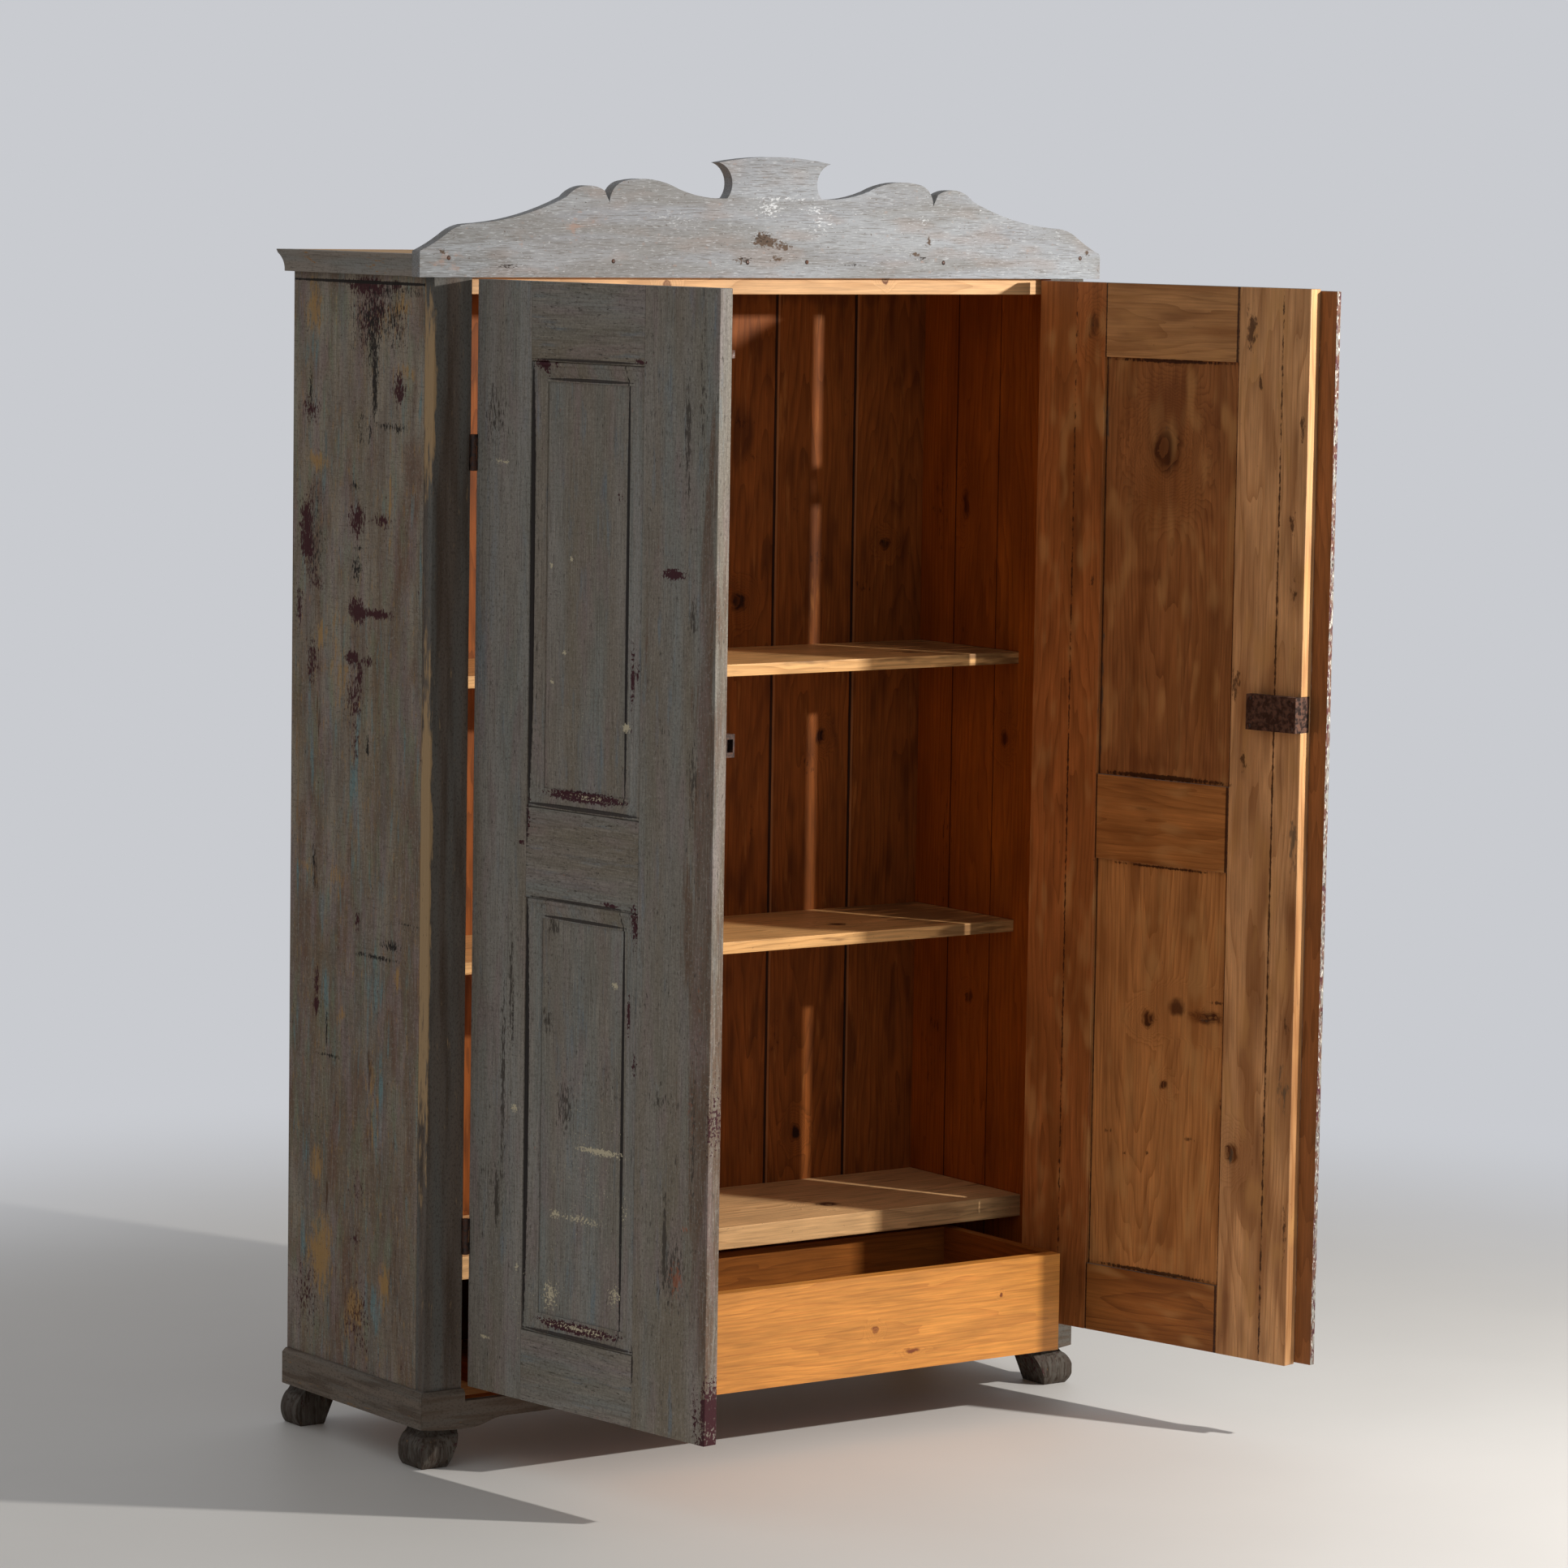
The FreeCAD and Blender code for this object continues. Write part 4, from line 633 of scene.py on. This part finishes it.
# Drawer
# Softwood left clear and waxed bright orange, the front's ends half-blind dovetailed to the sides
# and the bottom slid into grooves. It stands half out under the rough board.
BRIGHT = ("#d18c40", "#b26d30", "#7a3c16", 0.4, 0.4)
# The drawer's back, sides and bottom are darker than its front: dirt, and painted shade for the shaded
# inside of the drawer.
DIRT_AND_SHADE = ("#89501e", "#653511", "#4a2512", 0.55, 0.12)
drawer_boards = (
    ("drawer_front", "across", BRIGHT, [(8, 92, 6, 7), (48, 168, 3, 14), (-24, 340, 3, 3)]),
    ("drawer_back", "across", DIRT_AND_SHADE, [(10, -200, 7, 8)]),
    ("drawer_left_side", "side_deep", DIRT_AND_SHADE, []),
    ("drawer_right_side", "side_deep", DIRT_AND_SHADE, []),
    ("drawer_bottom", "flat", DIRT_AND_SHADE, []),
)
for number, (name, lay, tones, knots) in enumerate(drawer_boards):
    material = finish(name + "_waxed_pine", middle(name), lay, (12, 70, 60), tones, knots,
                      seed=81 + number)
    dress(name, material)
material = finish("drawer_guides_pine", middle("drawer_guides"), "side_deep", (10, 60, 0), AGED, seed=88)
dress("drawer_guides", material)

# Doors
# Framed and panelled in pine, tenoned and wedged. Outside they are painted grey-blue over ox blood,
# inside only waxed. The wear and the painted shade are placed on the whole door: across from its
# hinges and up, in mm.
door_weather = [
    ("#8d7a78", 30, 160, 0.6, 0.12, 0.5, 0, []),
    ("#62594e", 2.6, 70, 0.56, 0.1, 0.5, 0, []),
    ("#a59c90", 2.6, 60, 0.6, 0.1, 0.45, 0, []),
    ("#5b544a", 3, 4.5, 0.58, 0.1, 0.5, 0, []),
]
left_door_paint = [
    ("#867c70", *FULL_COAT),
    ("#828a88", 60, 900, 0.56, 0.16, 0.7, 0, [
        (40, 1450, 90, 400, 0.12), (100, 1120, 80, 300, 0.1), (366, 1370, 20, 330, 0.4),
        (240, 170, 160, 60, 0.14), (40, 560, 60, 300, 0.06)]),
    ("#7b705d", 50, 700, 0.56, 0.14, 0.6, 0, [
        (405, 1250, 24, 420, 0.14), (460, 360, 70, 330, 0.24), (260, 130, 300, 60, 0.16),
        (240, 1400, 70, 260, 0.06)]),
    ("#6c7f8c", 16, 120, 0.66, 0.1, 0.6, 0, [
        (45, 1420, 24, 220, 0.18), (12, 1250, 18, 200, 0.22), (450, 1600, 40, 110, 0.06)]),
    ("#664a36", 12, 140, 0.76, 0.12, 0.85, 0, [
        (500, 900, 34, 420, 0.2), (530, 1200, 22, 500, 0.5), (532, 500, 28, 420, 0.6),
        (394, 1350, 10, 260, 0.2), (484, 340, 34, 60, 0.16), (510, 850, 20, 120, 0.16)]),
    ("#9b9690", 60, 500, 0.64, 0.14, 0.6, 0, [
        (50, 1350, 80, 600, 0.22), (60, 560, 80, 460, 0.2), (362, 1370, 24, 340, 0.3)]),
    *door_weather,
    ("#a39d94", 3.4, 4.5, 0.62, 0.08, 0.4, 0, [(362, 1400, 18, 340, 0.1)]),
    ("#5f574c", 18, 1.6, 0.62, 0.08, 0.34, 0, []),
    ("#3b332c", 3, 14, 0.66, 0.07, 0.85, -0.15, [
        (45, 1610, 30, 60, 0.14), (480, 1600, 8, 110, 0.26), (212, 580, 22, 46, 0.2),
        (95, 760, 5, 110, 0.26), (78, 600, 6, 160, 0.26), (66, 420, 5, 50, 0.26),
        (170, 705, 16, 24, 0.18), (496, 1335, 12, 30, 0.2), (440, 620, 34, 14, 0.14),
        (452, 420, 5, 70, 0.3), (470, 370, 40, 60, 0.16), (180, 850, 16, 20, 0.22),
        (500, 1100, 12, 70, 0.16), (512, 1650, 8, 120, 0.12), (300, 620, 60, 40, 0.06),
        (60, 420, 50, 70, 0.08), (512, 560, 6, 150, 0.16)]),
    ("#9a5c40", 6, 10, 0.76, 0.08, 0.7, 0, [
        (478, 360, 22, 34, 0.28), (498, 438, 14, 8, 0.28), (506, 600, 12, 60, 0.16),
        (300, 118, 120, 8, 0.2), (520, 800, 14, 120, 0.12)]),
    (BURGUNDY, 4.5, 5, 0.72, 0.05, 1, 0, [
        (150, 1690, 24, 9, 0.34), (158, 1680, 10, 14, 0.3), (183, 1690, 6, 7, 0.3),
        (372, 1699, 18, 5, 0.36), (268, 1733, 12, 16, 0.14), (355, 1230, 9, 70, 0.3),
        (372, 1240, 12, 24, 0.24), (250, 1050, 100, 9, 0.6), (130, 1010, 6, 40, 0.3),
        (452, 1394, 30, 9, 0.5), (320, 1498, 12, 10, 0.2), (250, 249, 100, 8, 0.6),
        (320, 896, 24, 5, 0.36), (374, 872, 13, 40, 0.34), (357, 735, 6, 36, 0.34),
        (376, 660, 10, 30, 0.24), (545, 600, 8, 70, 0.2), (545, 170, 12, 60, 0.36),
        (540, 115, 20, 20, 0.3), (524, 160, 10, 60, 0.2), (168, 760, 20, 24, 0.1),
        (116, 972, 9, 5, 0.4)]),
    # Dark lines along the mouldings' upright edges: painted shade in the quirks beside the panels.
    ("#1f1815", 5, 9, 0.8, 0.12, 0.98, -0.3, [
        (130.5, 1364, 4.2, 300, 2.4), (130, 563, 4, 300, 2.4), (339, 1366, 3, 290, 2.4),
        (342, 565, 3, 290, 2.4)]),
    # Dark lines along the mouldings' top and bottom edges: painted shade in the quirks, with a few short
    # upright dark marks besides.
    ("#2c231e", 5, 5, 0.8, 0.14, 0.9, -0.2, [
        (254, 1696, 116, 2, 1.6), (252, 1667, 86, 2.4, 2), (255, 1032, 118, 2.8, 2),
        (254, 892, 116, 2, 1.2), (252, 864, 86, 2.4, 2), (255, 235, 118, 2.8, 2),
        (383, 215, 2.4, 30, 0.9), (128, 1000, 3, 40, 0.5), (100, 700, 3, 70, 0.4)]),
    ("#c9bda0", 3.4, 3.4, 0.78, 0.04, 0.95, 0, [
        (60, 1540, 30, 6, 0.3), (322, 776, 9, 7, 0.44), (297, 523, 66, 6, 0.34), (106, 566, 13, 10, 0.4),
        (260, 480, 130, 260, 0.1), (120, 260, 110, 130, 0.09), (330, 310, 20, 24, 0.24),
        (182, 290, 20, 30, 0.22), (40, 205, 14, 4, 0.4), (340, 1160, 9, 8, 0.34),
        (150, 1620, 16, 70, 0.08), (352, 440, 8, 30, 0.2), (240, 1170, 60, 24, 0.1),
        (260, 1050, 90, 7, 0.24), (260, 249, 90, 7, 0.26), (198, 1262, 5, 5, 0.5), (166, 1390, 6, 6, 0.4),
        (212, 1402, 5, 5, 0.4), (170, 1216, 6, 6, 0.4), (345, 1162, 12, 12, 0.2),
        (190, 415, 14, 10, 0.24), (250, 415, 60, 8, 0.2), (115, 325, 6, 8, 0.3)]),
]
right_door_paint = [
    ("#867c70", *FULL_COAT),
    ("#828a88", 60, 900, 0.56, 0.16, 0.7, 0, [(-40, 1250, 90, 600, 0.1)]),
    ("#857a69", 50, 700, 0.56, 0.14, 0.6, 0, [(-440, 300, 70, 260, 0.12)]),
    ("#6f5040", 14, 160, 0.76, 0.12, 0.8, 0, [(-495, 1140, 30, 170, 0.2), (-12, 900, 14, 600, 0.14)]),
    *door_weather,
    ("#a39d94", 3.4, 4.5, 0.62, 0.08, 0.4, 0, []),
    ("#5f574c", 18, 1.6, 0.62, 0.08, 0.34, 0, []),
    ("#3f3730", 3, 14, 0.7, 0.06, 0.8, -0.15, [
        (-80, 1500, 20, 60, 0.16), (-440, 620, 20, 60, 0.2), (-250, 560, 26, 50, 0.16),
        (-450, 1550, 6, 110, 0.24)]),
    (BURGUNDY, 4.5, 5, 0.72, 0.05, 1, 0, [
        (-272, 249, 110, 10, 0.34), (-272, 1049, 110, 11, 0.32), (-160, 1690, 24, 9, 0.32),
        (-395, 870, 12, 34, 0.3), (-430, 1380, 26, 8, 0.3), (-60, 1200, 8, 60, 0.2)]),
    # Dark lines along the mouldings' upright edges: painted shade in the quirks beside the panels.
    ("#1f1815", 5, 9, 0.8, 0.12, 0.98, -0.3, [
        (-142, 1364, 5, 330, 2), (-141, 563, 5, 330, 2), (-372, 1366, 3.2, 316, 2),
        (-372, 565, 3.2, 316, 2)]),
    # Dark lines along the mouldings' top and bottom edges: painted shade in the quirks.
    ("#2c231e", 5, 5, 0.8, 0.14, 0.9, -0.2, [
        (-272, 1696, 122, 2, 1.6), (-272, 1667, 92, 2.4, 2), (-272, 1032, 122, 2.8, 2),
        (-272, 892, 122, 2, 1.2), (-272, 864, 92, 2.4, 2), (-272, 235, 122, 2.8, 2)]),
    ("#c9bda0", 3.4, 3.4, 0.78, 0.04, 0.95, 0, [
        (-270, 480, 140, 240, 0.06), (-90, 260, 90, 130, 0.06), (-300, 700, 20, 10, 0.3)]),
]

# Worn places, stains and knocks on the right door's inner face, and painted shade along the
# panels' edges. The left door has them mirrored.
inner_marks_and_shade = [
    ("#7d4a20", 40, 260, 0.6, 0.14, 0.6, 0, [
        (-390, 500, 14, 300, 0.1), (-475, 480, 90, 340, 0.2), (-70, 1400, 70, 300, 0.12)]),
    ("#c09058", 30, 90, 0.64, 0.12, 0.55, 0, [
        (-350, 760, 26, 70, 0.2), (-345, 590, 34, 50, 0.22), (-215, 400, 40, 60, 0.14),
        (-300, 800, 110, 20, 0.14), (-350, 340, 14, 70, 0.16), (-260, 270, 60, 14, 0.18)]),
    ("#5a2c14", 26, 140, 0.7, 0.15, 0.5, 0, [
        (-270, 1640, 140, 60, 0.2), (-240, 1350, 40, 20, 0.2), (-355, 1450, 34, 24, 0.2),
        (-220, 1270, 16, 40, 0.16), (-290, 1600, 60, 40, 0.1), (-400, 1400, 14, 300, 0.12),
        (-270, 1050, 150, 20, 0.16), (-85, 1350, 8, 300, 0.16), (-270, 215, 150, 16, 0.2),
        (-100, 300, 40, 120, 0.12), (-270, 890, 140, 8, 0.16), (-425, 900, 8, 800, 0.1)]),
    ("#3a2114", 5, 12, 0.77, 0.09, 0.8, 0, [
        (-432, 1745, 14, 40, 0.4), (-451, 1660, 5, 20, 0.4), (-535, 1590, 8, 30, 0.36),
        (-520, 1445, 9, 22, 0.36), (-415, 1190, 12, 30, 0.38), (-435, 1070, 9, 24, 0.34),
        (-522, 660, 24, 20, 0.2), (-112, 1742, 12, 22, 0.2), (-120, 1330, 8, 16, 0.24),
        (-390, 681, 26, 4, 0.34), (-400, 516, 4, 18, 0.34), (-340, 457, 20, 6, 0.24),
        (-172, 450, 16, 6, 0.26), (-255, 424, 7, 7, 0.3), (-208, 418, 5, 5, 0.34),
        (-527, 1340, 12, 50, 0.2), (-538, 340, 8, 60, 0.24), (-490, 500, 10, 60, 0.16)]),
    ("#4b4a40", 7, 26, 0.78, 0.09, 0.7, 0, [
        (-141, 1600, 5, 90, 0.34), (-141, 1150, 5, 130, 0.3), (-535, 950, 12, 70, 0.3),
        (-530, 560, 16, 50, 0.28), (-428, 440, 14, 26, 0.24), (-536, 1180, 10, 30, 0.2),
        (-368, 650, 12, 6, 0.34)]),
    # Dark lines round the panels: dirt in the joints, and painted shade where the panels sit back from
    # the frame. The two long lines on the stiles are seams.
    ("#2b1209", 5, 9, 0.8, 0.12, 0.9, 0, [
        (-404, 1360, 2.6, 900, 1), (-139, 1360, 1.6, 900, 0.8), (-404, 560, 2.6, 900, 1),
        (-139, 560, 1.6, 900, 0.8), (-272, 1690, 136, 4, 0.6), (-272, 1030, 136, 5, 0.7),
        (-272, 886, 136, 3, 0.5), (-272, 233, 136, 4, 0.6), (-493, 900, 2.6, 1400, 0.5),
        (-78, 900, 2.6, 1400, 0.4)]),
]

# The doors' larger knots, placed from the hinges and the floor.
inner_knots = {
    "right_door_upper_panel": [(-264, 1552, 26, 36)],
    "right_door_lower_panel": [
        (-250, 640, 13, 12), (-368, 656, 30, 12), (-310, 664, 16, 12), (-287, 537, 7, 8)],
    "right_door_lock_stile": [(-430, 447, 11, 16)],
    "right_door_hinge_stile": [(-110, 1743, 9, 17)],
    "left_door_upper_panel": [(230, 1400, 14, 18)],
    "left_door_lower_panel": [(280, 560, 12, 15)],
    "left_door_lock_stile": [(452, 1392, 11, 9), (474, 349, 14, 20)],
}

# Each board's lay, how far in mm the heart of its rings is from the hinges, or for a rail from the
# floor, and its early and late wood on the right door. The left door's boards are all alike.
DOOR = ("#b0743c", "#7c4820", "#46230f", 0.45, 0.3)
door_boards = (
    ("hinge_stile", "upright", 60, "#a96735", "#7b451d"),
    ("lock_stile", "upright", 470, "#d2a06e", "#a67244"),
    ("upper_panel", "upright", 270, "#9b6539", "#6c3e1d"),
    ("lower_panel", "upright", 250, "#c0854d", "#8f5b2d"),
    ("top_rail", "across", 1750, "#bb8b59", "#926438"),
    ("mid_rail", "across", 960, "#ae733d", "#814e23"),
    ("bottom_rail", "across", 180, "#9d6330", "#6e3e1b"),
)

# How far in degrees each door stands open, its hinge line, and the way its inner face looks. The
# right door's free edge is bare too.
turns = {"left": -83, "right": 102}
pivots = {"left": (-0.56445, 0.0723, 0), "right": (0.53505, 0.0723, 0)}
inward = {}
for side, angle in turns.items():
    inward[side] = (-math.sin(math.radians(angle)), math.cos(math.radians(angle)), 0)
free_edge = (0.2079, -0.9781, 0)
for side, hand, layers, seed in (("left", 1, left_door_paint, 91), ("right", -1, right_door_paint, 101)):
    pivot, turn = pivots[side], turns[side]
    for number, (part, lay, at, early, late) in enumerate(door_boards):
        name = f"{side}_door_{part}"
        grain = "up" if lay == "upright" else "across"
        heart = (hand * at, -45, 900 + 300 * number) if lay == "upright" else (-at, -50, hand * 300)
        tones, bare = DOOR, [inward[side]]
        if side == "right":
            tones, bare = (early, late, *DOOR[2:]), [inward[side], free_edge]
        marks = []
        for *look, patches in inner_marks_and_shade:
            marks.append((*look, [(-hand * x, *patch) for x, *patch in patches]))
        material = finish(name + "_painted_pine", pivot, lay, heart, tones, inner_knots.get(name, []),
                          seed=seed + number, turn=turn, bare_sides=bare,
                          paint=placed(name, layers, grain, pivot, turn),
                          marks=placed(name, marks, grain, pivot, turn))
        dress(name, material, 0.6 if "panel" in part else 1.2)

    # The mouldings keep their crisp edges.
    name = f"{side}_door_mouldings"
    material = finish(name + "_painted_pine", pivot, "upright", (hand * 250, 40, 900), DOOR,
                      seed=98, turn=turn, paint=placed(name, layers, "up", pivot, turn))
    dress(name, material, 0)

# Cover strip
# A rounded lath nailed over the right door's meeting edge. Its paint has flaked worst of all, in
# white, ox blood and brown.
strip_paint = [
    ("#6a4a3c", *FULL_COAT),
    ("#8f8d86", 8, 30, 0.5, 0.05, 0.9, 0, []),
    ("#4a1f28", 7, 16, 0.56, 0.04, 0.95, 0, []),
    ("#c9c3b8", 4, 9, 0.6, 0.03, 0.95, 0.2, []),
    ("#2f211a", 4, 12, 0.62, 0.04, 0.9, 0, []),
]
name = "right_door_cover_strip"
LATH = ("#8f5a30", "#693c19", "#46230f", 0.5, 0.3)
material = finish("cover_strip_painted_pine", pivots["right"], "upright", (-548, 60, 900), LATH,
                  seed=111, turn=turns["right"], bare_sides=[inward["right"]],
                  paint=placed(name, strip_paint, "up", pivots["right"], turns["right"]))
dress(name, material)


# Ironwork
# Forged butt hinges, the rim lock with its bolt, its keeper, and the slide bolt: wrought iron gone
# dark brown, with rust in the pits and a dull shine where hands and keys have rubbed.
def iron(name, dark, rust, threshold):
    """Old wrought iron: dark oxide, and rust where pits some 8 mm across pass a threshold."""
    material, tree, shader = new_material(name)
    place = add(tree, "Mapping", {"Vector": add(tree, "TexCoord", out="Object"), "Scale": MILLIMETRES},
                vector_type="TEXTURE")
    pits = add(tree, "TexNoise", {"Vector": place, "Scale": 0.12, "Detail": 6, "Roughness": 0.65})
    cover = add(tree, "MapRange", {"Value": pits, "From Min": threshold - 0.08,
                                   "From Max": threshold + 0.08}, interpolation_type="SMOOTHSTEP")
    colour = add(tree, "Mix", {0: cover, 6: dark, 7: rust}, out=2, data_type="RGBA")
    tree.links.new(colour, shader.inputs["Base Color"])
    metal = add(tree, "MapRange", {"Value": cover, "To Min": 0.75, "To Max": 0.05})
    tree.links.new(metal, shader.inputs["Metallic"])
    rough = add(tree, "MapRange", {"Value": cover, "To Min": 0.42, "To Max": 0.85})
    tree.links.new(rough, shader.inputs["Roughness"])
    height = add(tree, "Math", {0: pits, 1: 0.0006}, operation="MULTIPLY")
    bump = add(tree, "Bump", {"Height": height, "Distance": 1, "Strength": 0.8})
    tree.links.new(bump, shader.inputs["Normal"])
    return material


hinge_iron = iron("wrought_iron_hinges", "#3a3230", "#4d2f20", 0.5)
lock_iron = iron("wrought_iron_lock", "#41342f", "#5b3a29", 0.52)
for name in ("frame_hinge_leaves", "hinge_pins", "left_door_hinge_leaves", "right_door_hinge_leaves"):
    dress(name, hinge_iron, 0)
for name in ("right_lock_case", "lock_bolt", "left_lock_keeper", "top_bolt_plate", "top_bolt"):
    dress(name, lock_iron, 0.4)


# Nails and screws
# Hand-cut nails hold the back boards and the crest, and flat screws the hinge leaves, all of dark
# iron and driven just proud of the wood. Four rivets close the lock's case.
def studs(name, body, points, facing, radius, rise, place=Matrix()):
    """Low domed iron heads at points in metres, each standing its rise out of the wood."""
    mesh = bmesh.new()
    turn = Vector((0, 0, 1)).rotation_difference(Vector(facing)).to_matrix().to_4x4()
    flat = Matrix.Diagonal((1, 1, rise / radius, 1))
    for point in points:
        bmesh.ops.create_uvsphere(mesh, u_segments=12, v_segments=6, radius=radius,
                                  matrix=place @ Matrix.Translation(point) @ turn @ flat)
    bmesh.ops.recalc_face_normals(mesh, faces=mesh.faces)
    heads = new_object(name, mesh)
    heads.data.shade_smooth()
    heads.data.materials.append(lock_iron)
    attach(heads, body)


# Two nails across each back board: near its ends and into each shelf.
back_nails = []
for number in range(1, 7):
    low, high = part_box(f"back_board_{number}")
    heights = (low.z + 0.03, middle("lower_shelf").z, middle("upper_shelf").z, high.z - 0.03)
    for share in (0.25, 0.75):
        for z in heights:
            back_nails.append((low.x + share * (high.x - low.x), high.y, z))
studs("back_board_nails", "carcase", back_nails, (0, 1, 0), 0.004, 0.0012)
crest_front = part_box("crest_board")[0].y
crest_nails = [(WARDROBE[0] + x / 1000, crest_front, z / 1000) for x, z in
               ((-596, 1842), (-300, 1838), (-50, 1837), (63, 1838), (330, 1838), (606, 1846))]
studs("crest_nails", "carcase", crest_nails, (0, -1, 0), 0.0035, 0.001)

# Three screws up each leaf on the frame, whose face is 0.75 mm outside the hinge line.
door_low, door_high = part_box("left_door_hinge_stile")
leaf_feet = (door_low.z + 0.205, door_high.z - 0.2875)
screw_steps = (0.009, 0.0275, 0.046)
screw_y = 0.0903
for side, hand in (("left", 1), ("right", -1)):
    leaf_face = pivots[side][0] - hand * 0.00075
    hinge_screws = [(leaf_face, screw_y, foot + step) for foot in leaf_feet for step in screw_steps]
    studs(f"{side}_hinge_screws", "carcase", hinge_screws, (hand, 0, 0), 0.0032, 0.0005)

# The lock's rivets and the keyhole plate are placed from the hinge line of the right door when shut.
door_turn = Matrix.Rotation(math.radians(turns["right"]), 4, "Z")
door_frame = Matrix.Translation(pivots["right"]) @ door_turn
lock_back = 0.044
rivets = [(x, lock_back, z) for x in (-0.455, -0.538) for z in (1.172, 1.128)]
studs("lock_rivets", "right_door", rivets, (0, 1, 0), 0.0035, 0.0012, door_frame)
key_x, key_z = -0.4955, 1.132
plate_front = 0.0045
plate_nails = [(key_x, plate_front, key_z + rise) for rise in (0.0235, -0.0235)]
studs("keyhole_plate_nails", "right_door", plate_nails, (0, -1, 0), 0.0018, 0.0008, door_frame)

# Keyhole plate
# A thin oval of sheet iron nailed over the keyhole on the right door's outer face, cut out to the
# key's own shape: a round hole with a slot for the bit below it.
mesh = bmesh.new()
upright = Matrix.Rotation(math.radians(90), 4, "X")
oval = upright @ Matrix.Diagonal((1, 2.1, 1, 1))
bmesh.ops.create_circle(mesh, segments=24, radius=0.013, matrix=oval)
hole = bmesh.ops.create_circle(mesh, segments=24, radius=0.0045, matrix=upright)
slot_half = 0.0018
slot_drop = 0.009
for vertex in hole["verts"]:
    if vertex.co.z < -0.0025:
        vertex.co.z -= slot_drop
        vertex.co.x = max(-slot_half, min(slot_half, vertex.co.x))
bmesh.ops.bridge_loops(mesh, edges=mesh.edges[:])
bmesh.ops.solidify(mesh, geom=mesh.faces[:], thickness=0.0015)
bmesh.ops.recalc_face_normals(mesh, faces=mesh.faces)
low = min(vertex.co.y for vertex in mesh.verts)
place = door_frame @ Matrix.Translation((key_x, plate_front - low, key_z))
bmesh.ops.transform(mesh, verts=mesh.verts, matrix=place)
keyhole_plate = new_object("keyhole_plate", mesh)
keyhole_plate.data.materials.append(lock_iron)
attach(keyhole_plate, "right_door")
